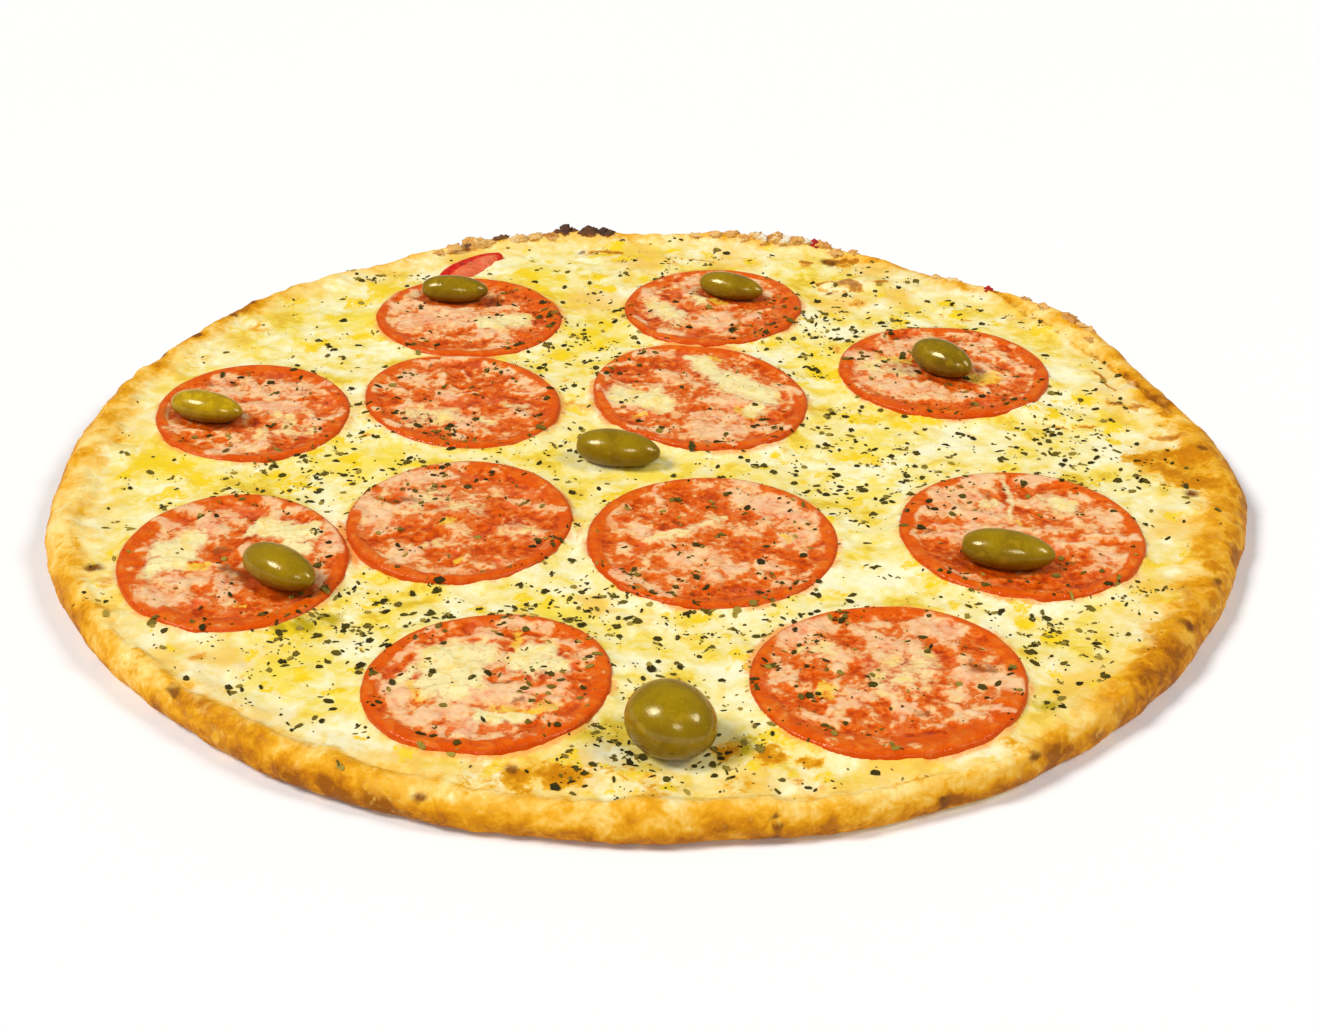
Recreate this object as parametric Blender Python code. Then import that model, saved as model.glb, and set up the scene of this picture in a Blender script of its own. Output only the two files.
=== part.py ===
"""A whole round cheese pizza: a low baked crust, melted cheese with dried oregano,
tomato slices sunk in the cheese and whole green olives. Sizes are in millimetres."""
import math
import random

import bmesh
import bpy
import numpy as np
from mathutils import Matrix, Vector
from mathutils.bvhtree import BVHTree
from mathutils.geometry import delaunay_2d_cdt

MM = 0.001                 # metres in a millimetre
GAP = 0.45                 # upright clearance between pieces that lie on each other
SIDE_GAP = 0.4             # clearance round a slice in its pocket

# Crust: a flat disc with a low, uneven rim
OUTLINE_RADIUS = 174.6
BULGES = (                 # direction in degrees, how far out, half-width in degrees
    (-135, -2.3, 13), (-65, 3.4, 14), (-42, 1.3, 9), (-6, 2.6, 9), (14, -2.2, 10),
    (35, 2.4, 7), (53, -2.4, 9), (90, -1.6, 9), (112, 1.4, 9), (135, 1.8, 9),
)
CREST_SWELLS = (           # direction in degrees, how far up, half-width in degrees
    (35, 1.5, 6), (53, -0.9, 8), (75, 1.0, 8), (99, 0.8, 6), (-63, -0.7, 16), (-100, -0.3, 15),
)
OUTLINE_RIPPLE = 0.6
OUTLINE_POINTS = 132
FLOOR_HEIGHT = 5.0         # top of the dough under the cheese
SLOPE_RUN = 3.5            # from the floor up to the cheese's edge
EDGE_HEIGHT = 8.7          # crust's height under the cheese's edge
CREST_HEIGHT = 11.2
CREST_RIPPLE = 0.85
RIM_LUMPS = 0.6
SIDE_HEIGHT = 5.2          # height of the widest line
TOE_HEIGHT = 1.5           # where the side turns under
TOE_INSET = 1.3
BASE_INSET = 4.5           # the flat underside's edge
RIM_WIDTHS = (             # direction in degrees, distance from the outer edge to the cheese
    (-180, 15.0), (-166, 12.0), (-152, 7.5), (-138, 7.5), (-118, 9.0), (-90, 8.0), (-76, 6.0),
    (-63, 4.2), (-50, 6.0), (-35, 12.5), (-12, 15.0), (12, 14.0), (35, 12.0), (58, 9.0), (85, 8.0),
    (112, 8.0), (140, 10.0), (165, 11.5), (180, 15.0),
)
CRAG_CLUSTERS = (          # direction, half-spread in degrees, number of lumps
    (98, 3.0, 5), (73, 6.0, 6), (110, 4.0, 3), (35, 5.0, 3),
)
CRAG_RADIUS = (1.6, 2.9)

# Cheese: a layer that fills the crust and is thinnest at its edge
CHEESE_HEIGHT = 9.5
CHEESE_LIP = 0.7
CHEESE_SPACING = 9.6       # between the points of its surface
CHEESE_SWELLS = ((27.0, 0.55, 1), (12.0, 0.35, 2))   # size of the swells, height, seed
MOUNDS = (                 # x, y, radius, height of blisters under the cheese
    (141, 42, 13, 1.2), (74, 119, 12, 1.2), (-88, -118, 12, 0.7), (-140, -12, 12, 0.6),
)

# Tomato slices: x, y, longest and shortest width, direction of the longest in degrees
SLICES = (
    (-61.8, 97.2, 64.4, 60.0, -45), (21.1, 106.6, 63.6, 59.3, 65), (94.4, 56.5, 67.5, 65.3, -25),
    (-123.0, 26.1, 65.8, 59.1, -69), (-59.0, 35.0, 67.4, 57.1, -49), (15.4, 38.8, 76.0, 64.6, -63),
    (-113.3, -62.5, 72.0, 61.9, -74), (-53.1, -40.5, 67.8, 62.9, 89), (17.7, -51.0, 70.2, 69.4, 82),
    (104.5, -46.9, 70.3, 67.6, -71), (-39.6, -120.4, 63.5, 59.4, 34), (60.7, -118.1, 70.2, 67.6, 30),
)
END_PIECE = (-49.4, 126.6, 53.0, 53.0, 0)     # a slice that the cheese and the first slice cover
END_PIECE_MIDDLE = (-64.2, 137.2)
END_PIECE_FOLD = ((-54.0, 151.0), (-57.5, 131.0))   # where the cheese flows over it
SLICE_POINTS = 20
SLICE_THICKNESS = 4.6
SLICE_HEIGHT = 11.7        # top of the skin
SLICE_TILT = 0.022         # largest rise over run
NECK = 0.85                # from a slice to the line halfway to its neighbour
SKIN_IN = 1.5
WALL_IN = 5.4
WELL_DEPTH = 1.3

# Olives: x, y, length, width, height, direction in degrees, slice it lies on (0 is the cheese)
OLIVES = (
    (-68.0, 111.8, 23.1, 11.0, 9.4, -7, 1), (27.5, 115.4, 23.2, 10.6, 9.2, -25, 2),
    (93.7, 55.3, 22.5, 12.8, 11.2, -46, 3), (-136.2, 21.1, 24.0, 11.2, 9.6, -20, 4),
    (-9.5, -3.2, 25.6, 12.6, 11.0, -14, 0), (-98.6, -73.8, 24.2, 12.8, 11.2, -37, 7),
    (97.7, -63.3, 25.6, 12.4, 10.8, -15, 10), (6.2, -146.2, 23.2, 20.4, 18.2, -40, 0),
)
OLIVE_SINK = 1.6
OLIVE_SIDES = 10
OLIVE_STATIONS = 7
OLIVE_DIMPLE = 0.7

# Oregano: the larger flakes, fused to what they lie on
CHEESE_FLAKES = 92
SLICE_FLAKES = 2
FLAKE_LENGTH = (2.8, 5.2)
FLAKE_WIDTH = 0.42         # of its length
FLAKE_RISE = 0.5
FLAKE_ROOT = 0.4
FLAKE_SPACING = 7.5
FLAKE_CLEAR = 1.0          # from a flake's end to a pocket or the cheese's edge
HERB_PATCHES = (           # x, y, radius where the oregano lies thickest
    (8, -148, 34), (-82, -95, 26), (-88, -12, 24), (62, -8, 30), (-20, 72, 22), (120, 12, 26),
    (-15, -85, 24), (58, 92, 26),
)


def clear_scene():
    for thing in list(bpy.data.objects):
        bpy.data.objects.remove(thing, do_unlink=True)


def baked_material(name, colour, roughness):
    material = bpy.data.materials.new(name)
    material.use_nodes = True
    shader = material.node_tree.nodes["Principled BSDF"]
    shader.inputs["Base Color"].default_value = (*colour, 1.0)
    shader.inputs["Roughness"].default_value = roughness
    shader.inputs["Metallic"].default_value = 0.0
    return material


# Smooth unevenness

def lattice_value(column, row, seed):
    """A fixed pseudo-random value from -1 to 1 for each lattice point."""
    wave = np.sin(column * 127.1 + row * 311.7 + seed * 74.7) * 43758.5453
    return 2.0 * (wave - np.floor(wave)) - 1.0


def swell(x, y, size, seed):
    """Smooth noise from -1 to 1 whose swells are about `size` wide."""
    u = np.asarray(x, float) / size
    v = np.asarray(y, float) / size
    column, row = np.floor(u), np.floor(v)
    fx, fy = u - column, v - row
    fx, fy = fx * fx * (3 - 2 * fx), fy * fy * (3 - 2 * fy)
    low = lattice_value(column, row, seed) * (1 - fx) + lattice_value(column + 1, row, seed) * fx
    high = lattice_value(column, row + 1, seed) * (1 - fx) + lattice_value(column + 1, row + 1, seed) * fx
    return low * (1 - fy) + high * fy


def bump(distance, radius):
    """A smooth hump of height 1 that ends at about twice its radius."""
    return np.exp(-(distance / radius) ** 2)


# Crust

def turn_between(angles, direction):
    """Degrees from `direction` to each angle, the short way round."""
    return (np.degrees(angles) - direction + 180.0) % 360.0 - 180.0


def raw_radius(angles):
    radius = np.full_like(angles, OUTLINE_RADIUS)
    for direction, out, half_width in BULGES:
        radius += out * bump(turn_between(angles, direction), half_width)
    return radius + OUTLINE_RIPPLE * swell(60 * np.cos(angles), 60 * np.sin(angles), 5.0, 14)


def rim_width(angles):
    directions = [direction for direction, _ in RIM_WIDTHS]
    widths = [width for _, width in RIM_WIDTHS]
    width = np.interp(turn_between(angles, 0.0), directions, widths)
    wave = swell(40 * np.cos(angles), 40 * np.sin(angles), 9.0, 11)
    return width * (1.0 + 0.09 * wave)


OUTLINE_ANGLES = np.arange(OUTLINE_POINTS) * 2 * math.pi / OUTLINE_POINTS


def outline_centre():
    """Where the rings' centre lies when the outline's box is centred on the origin."""
    radius = raw_radius(OUTLINE_ANGLES)
    x, y = radius * np.cos(OUTLINE_ANGLES), radius * np.sin(OUTLINE_ANGLES)
    return -(x.max() + x.min()) / 2, -(y.max() + y.min()) / 2


CENTRE_X, CENTRE_Y = outline_centre()


def ring(inset, height):
    """One ring of the crust: a point for each outline angle, `inset` in from the outer edge."""
    radius = raw_radius(OUTLINE_ANGLES) - inset
    x = CENTRE_X + radius * np.cos(OUTLINE_ANGLES)
    y = CENTRE_Y + radius * np.sin(OUTLINE_ANGLES)
    return np.column_stack([x, y, np.broadcast_to(height, x.shape)])


def crust_rings():
    """The crust's rings from the floor's edge over the rim to the underside's edge."""
    width = rim_width(OUTLINE_ANGLES)
    around_x, around_y = 60 * np.cos(OUTLINE_ANGLES), 60 * np.sin(OUTLINE_ANGLES)
    crest = CREST_HEIGHT + 0.055 * (width - 11.0) + CREST_RIPPLE * swell(around_x, around_y, 8.0, 5)
    for direction, rise, half_width in CREST_SWELLS:
        crest += rise * bump(turn_between(OUTLINE_ANGLES, direction), half_width)
    lump = RIM_LUMPS * swell(around_x, around_y, 4.0, 6)
    shoulder_in = EDGE_HEIGHT + 0.72 * (crest - EDGE_HEIGHT) + lump
    shoulder_out = crest - 0.30 * (crest - SIDE_HEIGHT) - 0.6 * lump
    return [
        ring(width + SLOPE_RUN, FLOOR_HEIGHT),
        ring(width, EDGE_HEIGHT),
        ring(0.78 * width, shoulder_in),
        ring(0.50 * width, crest),
        ring(0.20 * width, shoulder_out),
        ring(0.0, SIDE_HEIGHT + lump),
        ring(TOE_INSET, TOE_HEIGHT),
        ring(BASE_INSET, 0.0),
    ]


def make_object(name, points, faces, material):
    """A closed smooth-shaded object from points in millimetres."""
    mesh = bpy.data.meshes.new(name)
    mesh.from_pydata([Vector(point) * MM for point in points], [], faces)
    shape = bmesh.new()
    shape.from_mesh(mesh)
    bmesh.ops.recalc_face_normals(shape, faces=shape.faces)
    shape.to_mesh(mesh)
    shape.free()
    mesh.shade_smooth()
    mesh.set_sharp_from_angle(angle=math.radians(50))
    mesh.materials.append(material)
    thing = bpy.data.objects.new(name, mesh)
    bpy.context.scene.collection.objects.link(thing)
    return thing


def band(first, second, count):
    """Quads between two rings of `count` points that start at the given indices."""
    faces = []
    for index in range(count):
        after = (index + 1) % count
        faces.append((first + index, first + after, second + after, second + index))
    return faces


def stacked_rings(rings):
    """Points and faces of a solid whose first and last rings are capped flat."""
    count = len(rings[0])
    points = np.vstack(rings)
    faces = [tuple(range(count))]
    for step in range(len(rings) - 1):
        faces += band(step * count, (step + 1) * count, count)
    last = (len(rings) - 1) * count
    faces.append(tuple(range(last, last + count)))
    return points, faces


def rough_lump(name, centre, radius, draw):
    """A small angular crumb."""
    shape = bmesh.new()
    bmesh.ops.create_icosphere(shape, subdivisions=1, radius=radius * MM)
    for vertex in shape.verts:
        vertex.co *= draw.uniform(0.8, 1.2)
        vertex.co.z *= 0.8
    mesh = bpy.data.meshes.new(name)
    shape.to_mesh(mesh)
    shape.free()
    lump = bpy.data.objects.new(name, mesh)
    lump.matrix_world = Matrix.Translation(Vector(centre) * MM) @ Matrix.Rotation(draw.uniform(0, 6), 4, "Z")
    return lump


def fuse(target, pieces, name):
    """Join the pieces to the target by one Boolean union, and remove them."""
    group = bpy.data.collections.new(name)
    bpy.context.scene.collection.children.link(group)
    for piece in pieces:
        group.objects.link(piece)
    union = target.modifiers.new("union", "BOOLEAN")
    union.operation = "UNION"
    union.solver = "EXACT"
    union.operand_type = "COLLECTION"
    union.collection = group
    bpy.context.view_layer.update()
    evaluated = target.evaluated_get(bpy.context.evaluated_depsgraph_get())
    joined = bpy.data.meshes.new_from_object(evaluated)
    target.modifiers.clear()
    material = target.data.materials[0]
    target.data = joined
    joined.materials.clear()
    joined.materials.append(material)
    for piece in pieces:
        bpy.data.objects.remove(piece, do_unlink=True)
    bpy.data.collections.remove(group)


def make_crust(material):
    rings = crust_rings()
    points, faces = stacked_rings(rings)
    crust = make_object("crust", points, faces, material)
    draw = random.Random(3)
    lumps = []
    for direction, spread, number in CRAG_CLUSTERS:
        for _ in range(number):
            angle = math.radians(direction + draw.uniform(-spread, spread))
            nearest = round(angle / (2 * math.pi) * OUTLINE_POINTS) % OUTLINE_POINTS
            radius = draw.uniform(*CRAG_RADIUS)
            spot = rings[3][nearest] * 0.8 + rings[4][nearest] * 0.2
            lift = np.array([draw.uniform(-2, 2), draw.uniform(-1.5, 0.5), 0.2 * radius])
            lumps.append(rough_lump("crag", spot + lift, radius, draw))
    fuse(crust, lumps, "crags")
    return crust


# Tomato slices

def slice_wobble(angles, seed):
    return 1.0 + 0.012 * swell(3 * np.cos(angles), 3 * np.sin(angles), 1.6, seed)


def ellipse_reach(spec, angles, seed):
    """Distance from a slice's middle to its own uneven outline."""
    _, _, longest, shortest, direction = spec
    turned = angles - math.radians(direction)
    plain = 1.0 / np.hypot(np.cos(turned) / (longest / 2), np.sin(turned) / (shortest / 2))
    return plain * slice_wobble(angles, seed)


def slice_angles():
    return np.arange(SLICE_POINTS) * 2 * math.pi / SLICE_POINTS


def slice_outline(number):
    """Outline points of a whole slice, pressed flat where a neighbour meets it."""
    spec = SLICES[number]
    angles = slice_angles()
    reach = ellipse_reach(spec, angles, 20 + number)
    for other, neighbour in enumerate(SLICES):
        apart = math.dist(spec[:2], neighbour[:2])
        if other == number or apart > 80:
            continue
        towards = math.atan2(neighbour[1] - spec[1], neighbour[0] - spec[0])
        own = ellipse_reach(spec, np.array([towards]), 20 + number)[0]
        theirs = ellipse_reach(neighbour, np.array([towards + math.pi]), 20 + other)[0]
        limit = own + (apart - own - theirs) / 2 - NECK
        facing = np.cos(angles - towards)
        allowed = np.where(facing > 0.3, limit / np.maximum(facing, 0.3), np.inf)
        reach = np.minimum(reach, allowed)
    return np.column_stack([spec[0] + reach * np.cos(angles), spec[1] + reach * np.sin(angles)])


def end_piece_outline():
    """Outline of the end piece: its skin's arc, the cheese's fold and the first slice's edge."""
    middle_x, middle_y = END_PIECE_MIDDLE
    (fold_x, fold_y), (foot_x, foot_y) = END_PIECE_FOLD
    first = SLICES[0]
    points = []
    for angle in slice_angles():
        reach = 0.0
        while reach < 40.0:
            x = middle_x + reach * math.cos(angle)
            y = middle_y + reach * math.sin(angle)
            beyond_skin = math.dist((x, y), END_PIECE[:2]) > END_PIECE[2] / 2
            across = (foot_x - fold_x) * (y - fold_y) - (foot_y - fold_y) * (x - fold_x)
            from_first = math.atan2(y - first[1], x - first[0])
            edge = ellipse_reach(first, np.array([from_first]), 20)[0] + 2 * NECK
            if beyond_skin or across > 0 or math.dist((x, y), first[:2]) < edge:
                break
            reach += 0.05
        points.append((middle_x + reach * math.cos(angle), middle_y + reach * math.sin(angle)))
    return np.array(points)


def grown(outline, distance):
    """The outline moved out by `distance`, square to its edges."""
    before, after = np.roll(outline, 1, axis=0), np.roll(outline, -1, axis=0)
    first, second = outline - before, after - outline
    first /= np.linalg.norm(first, axis=1)[:, None]
    second /= np.linalg.norm(second, axis=1)[:, None]
    normal_a = np.column_stack([first[:, 1], -first[:, 0]])
    normal_b = np.column_stack([second[:, 1], -second[:, 0]])
    middle = normal_a + normal_b
    scale = 2.0 / np.maximum((middle ** 2).sum(axis=1), 1.0)
    return outline + distance * middle * scale[:, None]


def slice_layouts():
    """Outline, middle and lie of every slice; the lie is a plane's height and slopes."""
    draw = random.Random(8)
    layouts = []
    outlines = [slice_outline(number) for number in range(len(SLICES))] + [end_piece_outline()]
    for number, outline in enumerate(outlines):
        x, y = outline.mean(axis=0)
        outward = np.array([x, y]) / math.hypot(x, y)
        rise = 0.9 * max(0.0, math.hypot(x, y) - 118.0) / 18.0
        slope = outward * min(rise, 1.0) * SLICE_TILT
        slope = slope + np.array([draw.uniform(-0.5, 0.5), draw.uniform(-0.5, 0.5)]) * SLICE_TILT
        height = SLICE_HEIGHT + draw.uniform(-0.25, 0.25)
        layouts.append((outline, (x, y), (height, slope[0], slope[1])))
    return layouts


def lie_height(layout, x, y):
    """Height of a slice's skin plane at a point."""
    _, (middle_x, middle_y), (height, slope_x, slope_y) = layout
    return height + slope_x * (x - middle_x) + slope_y * (y - middle_y)


def slice_ring(layout, inset, depth, seed):
    """A ring of a slice `inset` in from its outline and `depth` below its skin, with lumps."""
    outline, middle, _ = layout
    middle = np.array(middle)
    spokes = outline - middle
    lengths = np.linalg.norm(spokes, axis=1)
    kept = np.maximum(lengths - inset, 0.12 * lengths) if inset >= 0 else -inset * lengths
    points = middle + spokes * (kept / lengths)[:, None]
    lumps = 0.35 * swell(points[:, 0], points[:, 1], 6.0, seed) if depth < 2.0 else 0.0
    height = lie_height(layout, points[:, 0], points[:, 1]) - depth + lumps
    return np.column_stack([points, height])


def make_slice(name, layout, seed, material):
    """A slice: flat below, a rounded skin, a firm wall of flesh and a sunken, lumpy middle."""
    rings = [
        slice_ring(layout, 0.7, SLICE_THICKNESS, seed),
        slice_ring(layout, 0.0, 0.45 * SLICE_THICKNESS, seed),
        slice_ring(layout, SKIN_IN, 0.0, seed),
        slice_ring(layout, WALL_IN, 0.35, seed),
        slice_ring(layout, -0.62, WELL_DEPTH, seed),
        slice_ring(layout, -0.28, 0.5 * WELL_DEPTH, seed),
    ]
    points, faces = stacked_rings(rings)
    count = len(rings[0])
    points = np.vstack([points, points[-count:].mean(axis=0)])
    faces.pop()
    last = len(points) - 1
    faces += [(last - count + i, last - count + (i + 1) % count, last) for i in range(count)]
    return make_object(name, points, faces, material)


# Cheese

def cheese_top(x, y):
    height = np.full_like(np.asarray(x, float), CHEESE_HEIGHT)
    for size, rise, seed in CHEESE_SWELLS:
        height = height + rise * swell(x, y, size, seed)
    for mound_x, mound_y, radius, rise in MOUNDS:
        height = height + rise * bump(np.hypot(x - mound_x, y - mound_y), radius)
    return height


def inside_loop(loop, x, y):
    """Whether a point lies inside a closed loop, by counting the edges it is left of."""
    after = np.roll(loop, -1, axis=0)
    spans = (loop[:, 1] > y) != (after[:, 1] > y)
    rise = np.where(spans, after[:, 1] - loop[:, 1], 1.0)
    crossing = loop[:, 0] + (y - loop[:, 1]) / rise * (after[:, 0] - loop[:, 0])
    return bool((spans & (x < crossing)).sum() % 2)


def loop_distance(loop, x, y):
    """Distance from a point to the nearest edge of a closed loop."""
    start = loop
    edge = np.roll(loop, -1, axis=0) - start
    to_point = np.array([x, y]) - start
    along = np.clip((to_point * edge).sum(axis=1) / (edge ** 2).sum(axis=1), 0.0, 1.0)
    nearest = start + edge * along[:, None]
    return float(np.hypot(nearest[:, 0] - x, nearest[:, 1] - y).min())


def on_open_cheese(edge, pockets, x, y, clear):
    """Whether a point is on the cheese, `clear` of its edge and of every pocket."""
    if not inside_loop(edge, x, y) or loop_distance(edge, x, y) < clear:
        return False
    return all(not inside_loop(pocket, x, y) and loop_distance(pocket, x, y) >= clear for pocket in pockets)


def lattice_points(edge, pockets):
    """Points of an uneven triangular lattice that lie on open cheese."""
    draw = random.Random(5)
    row_step = CHEESE_SPACING * math.sqrt(3) / 2
    reach = int(OUTLINE_RADIUS / row_step) + 1
    points = []
    for row in range(-reach, reach + 1):
        for column in range(-reach, reach + 1):
            x = (column + 0.5 * (row % 2)) * CHEESE_SPACING + draw.uniform(-1.4, 1.4)
            y = row * row_step + draw.uniform(-1.4, 1.4)
            if on_open_cheese(edge, pockets, x, y, 0.45 * CHEESE_SPACING):
                points.append((x, y))
    return points


def make_cheese(layouts, material):
    """The cheese layer: an uneven top with a pocket for each slice, fitted to the crust below."""
    slope_ring, edge_ring = crust_rings()[:2]
    pockets = [grown(layout[0], SIDE_GAP) for layout in layouts]
    loops = [edge_ring[:, :2]] + pockets
    flat = [tuple(point) for loop in loops for point in loop]
    starts = np.cumsum([0] + [len(loop) for loop in loops])
    outlines = [list(range(starts[i], starts[i + 1])) for i in range(len(loops))]
    flat += lattice_points(edge_ring[:, :2], pockets)
    spots, _, triangles, origins, _, owners = delaunay_2d_cdt(
        [Vector(point) for point in flat], [], outlines, 1, 1e-6)
    place = {}
    for index, sources in enumerate(origins):
        for source in sources:
            place[source] = index
    x, y = np.array([spot[:] for spot in spots]).T
    height = cheese_top(x, y)
    points = [tuple(point) for point in np.column_stack([x, y, height])]
    for source in outlines[0]:
        spot = points[place[source]]
        points[place[source]] = (spot[0], spot[1], EDGE_HEIGHT + GAP + CHEESE_LIP)
    faces = [tuple(face) for face, owner in zip(triangles, owners) if list(owner) == [0]]
    for pocket, layout, outline in zip(pockets, layouts, outlines[1:]):
        floor = len(points)
        below = lie_height(layout, pocket[:, 0], pocket[:, 1]) - SLICE_THICKNESS - GAP
        points += [tuple(point) for point in np.column_stack([pocket, below])]
        count = len(pocket)
        for index in range(count):
            after = (index + 1) % count
            faces.append((place[outline[index]], place[outline[after]], floor + after, floor + index))
        faces.append(tuple(range(floor, floor + count)))
    under_edge = len(points)
    count = OUTLINE_POINTS
    points += [tuple(point) for point in edge_ring + (0, 0, GAP)]
    points += [tuple(point) for point in slope_ring + (0, 0, GAP)]
    for index in range(count):
        after = (index + 1) % count
        faces.append((place[index], place[after], under_edge + after, under_edge + index))
    faces += band(under_edge, under_edge + count, count)
    faces.append(tuple(range(under_edge + count, under_edge + 2 * count)))
    used = sorted({index for face in faces for index in face})
    renumber = {index: new for new, index in enumerate(used)}
    faces = [tuple(renumber[index] for index in face) for face in faces]
    return make_object("cheese", [points[index] for index in used], faces, material)


# Oregano

def flake(spot, normal, length, draw):
    """A dried leaf scrap: a thin crooked six-sided plate with its root in the surface."""
    across = FLAKE_WIDTH * length * draw.uniform(0.8, 1.2)
    points = []
    for level, scale in ((-FLAKE_ROOT, 0.9), (FLAKE_RISE, 0.8)):
        for corner in range(6):
            angle = corner * math.pi / 3
            reach = draw.uniform(0.85, 1.1) * scale / 2
            tip = draw.uniform(-0.12, 0.12) if level > 0 else 0.0
            points.append((length * reach * math.cos(angle), across * reach * math.sin(angle), level + tip))
    faces = [tuple(range(5, -1, -1)), tuple(range(6, 12))] + band(0, 6, 6)
    mesh = bpy.data.meshes.new("flake")
    mesh.from_pydata([Vector(point) * MM for point in points], [], faces)
    scrap = bpy.data.objects.new("flake", mesh)
    upright = Vector((0, 0, 1)).rotation_difference(normal).to_matrix().to_4x4()
    turn = Matrix.Rotation(draw.uniform(0, 2 * math.pi), 4, "Z")
    scrap.matrix_world = Matrix.Translation(spot) @ upright @ turn
    return scrap


def surface_below(target, x, y):
    """The point and normal of the target's upper surface under a place."""
    tree = BVHTree.FromPolygons([vertex.co for vertex in target.data.vertices],
                                [tuple(face.vertices) for face in target.data.polygons])
    hits = []
    for spot_x, spot_y in zip(x, y):
        spot, normal, _, _ = tree.ray_cast(Vector((spot_x, spot_y, 100)) * MM, Vector((0, 0, -1)))
        hits.append((spot, normal if normal.z > 0 else -normal))
    return hits


def herb_thickness(x, y):
    """How thick the oregano lies at a place, from 0.25 to 1."""
    near = max(float(bump(math.dist((x, y), (px, py)), radius)) for px, py, radius in HERB_PATCHES)
    return 0.25 + 0.75 * near


def scatter_cheese_flakes(cheese, pockets):
    """Flakes on the open cheese, the longest first, clear of slices, olives and each other."""
    draw = random.Random(12)
    edge = crust_rings()[1][:, :2]
    lengths = sorted((draw.uniform(*FLAKE_LENGTH) for _ in range(CHEESE_FLAKES)), reverse=True)
    olives = [(x, y, length / 2) for x, y, length, _, _, _, on in OLIVES if on == 0]
    places = []
    for length in lengths:
        for _ in range(400):
            x, y = draw.uniform(-160, 160), draw.uniform(-160, 160)
            clear_olives = all(math.dist((x, y), (ox, oy)) > half + length / 2 + 0.6 for ox, oy, half in olives)
            apart = all(math.dist((x, y), (px, py)) > FLAKE_SPACING for px, py, _ in places)
            if not clear_olives or not apart or draw.random() > herb_thickness(x, y):
                continue
            if on_open_cheese(edge, pockets, x, y, length / 2 + FLAKE_CLEAR):
                places.append((x, y, length))
                break
    hits = surface_below(cheese, [place[0] for place in places], [place[1] for place in places])
    scraps = [flake(spot, normal, place[2], draw) for (spot, normal), place in zip(hits, places)]
    fuse(cheese, scraps, "cheese_oregano")


def scatter_slice_flakes(tomato, layout, number):
    """Flakes on one slice, clear of its skin and of the olive that lies on it."""
    draw = random.Random(40 + number)
    outline, (middle_x, middle_y), _ = layout
    olives = [(x, y, length / 2) for x, y, length, _, _, _, on in OLIVES if on == number]
    places = []
    for _ in range(600):
        if len(places) == SLICE_FLAKES:
            break
        length = draw.uniform(2.8, 4.0)
        x, y = middle_x + draw.uniform(-26, 26), middle_y + draw.uniform(-26, 26)
        clear_olives = all(math.dist((x, y), (ox, oy)) > half + length for ox, oy, half in olives)
        apart = all(math.dist((x, y), (px, py)) > 2 * FLAKE_SPACING for px, py, _ in places)
        room = inside_loop(outline, x, y) and loop_distance(outline, x, y) > SKIN_IN + length
        if clear_olives and apart and room:
            places.append((x, y, length))
    if places:
        hits = surface_below(tomato, [place[0] for place in places], [place[1] for place in places])
        scraps = [flake(spot, normal, place[2], draw) for (spot, normal), place in zip(hits, places)]
        fuse(tomato, scraps, f"slice_{number}_oregano")


# Olives

def make_olive(number, spec, rest_height, material):
    """A whole olive on its side, dimpled at the stalk's end and settled on what it lies on."""
    x, y, length, width, height, direction, _ = spec
    profile = []
    for station in range(OLIVE_STATIONS):
        turn = math.pi * (station + 0.5) / OLIVE_STATIONS
        profile.append((-math.cos(turn), math.sin(turn) ** 0.92))
    rings = []
    for along, girth in profile:
        fuller = 1.0 - 0.07 * along
        ring_points = []
        for side in range(OLIVE_SIDES):
            angle = 2 * math.pi * (side + 0.5) / OLIVE_SIDES
            ring_points.append((
                along * length / 2,
                girth * fuller * width / 2 * math.cos(angle),
                girth * fuller * height / 2 * math.sin(angle)))
        rings.append(np.array(ring_points))
    points = np.vstack(rings)
    stalk = (-length / 2 * 1.01 + OLIVE_DIMPLE, 0.0, 0.0)
    tip = (length / 2 * 1.01, 0.0, 0.0)
    points = np.vstack([points, stalk, tip])
    count = OLIVE_SIDES
    faces = []
    for station in range(OLIVE_STATIONS - 1):
        faces += band(station * count, (station + 1) * count, count)
    last = (OLIVE_STATIONS - 1) * count
    for side in range(count):
        after = (side + 1) % count
        faces.append((side, after, len(points) - 2))
        faces.append((last + side, last + after, len(points) - 1))
    turned = math.radians(direction)
    world_x = x + points[:, 0] * math.cos(turned) - points[:, 1] * math.sin(turned)
    world_y = y + points[:, 0] * math.sin(turned) + points[:, 1] * math.cos(turned)
    world_z = np.maximum(points[:, 2] + height / 2 - OLIVE_SINK, 0.0) + rest_height
    placed = np.column_stack([world_x, world_y, world_z])
    return make_object(f"olive_{number}", placed, faces, material)


def highest_under(target, spec):
    """Height of the highest point of the target under an olive, in millimetres."""
    x, y, length, width, _, direction, _ = spec
    turned = math.radians(direction)
    xs, ys = [], []
    for step in range(72):
        angle, reach = 2.4 * step, math.sqrt((step + 0.5) / 72)
        along = length / 2 * reach * math.cos(angle)
        across = width / 2 * reach * math.sin(angle)
        xs.append(x + along * math.cos(turned) - across * math.sin(turned))
        ys.append(y + along * math.sin(turned) + across * math.cos(turned))
    return max(spot.z for spot, _ in surface_below(target, xs, ys)) / MM


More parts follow.
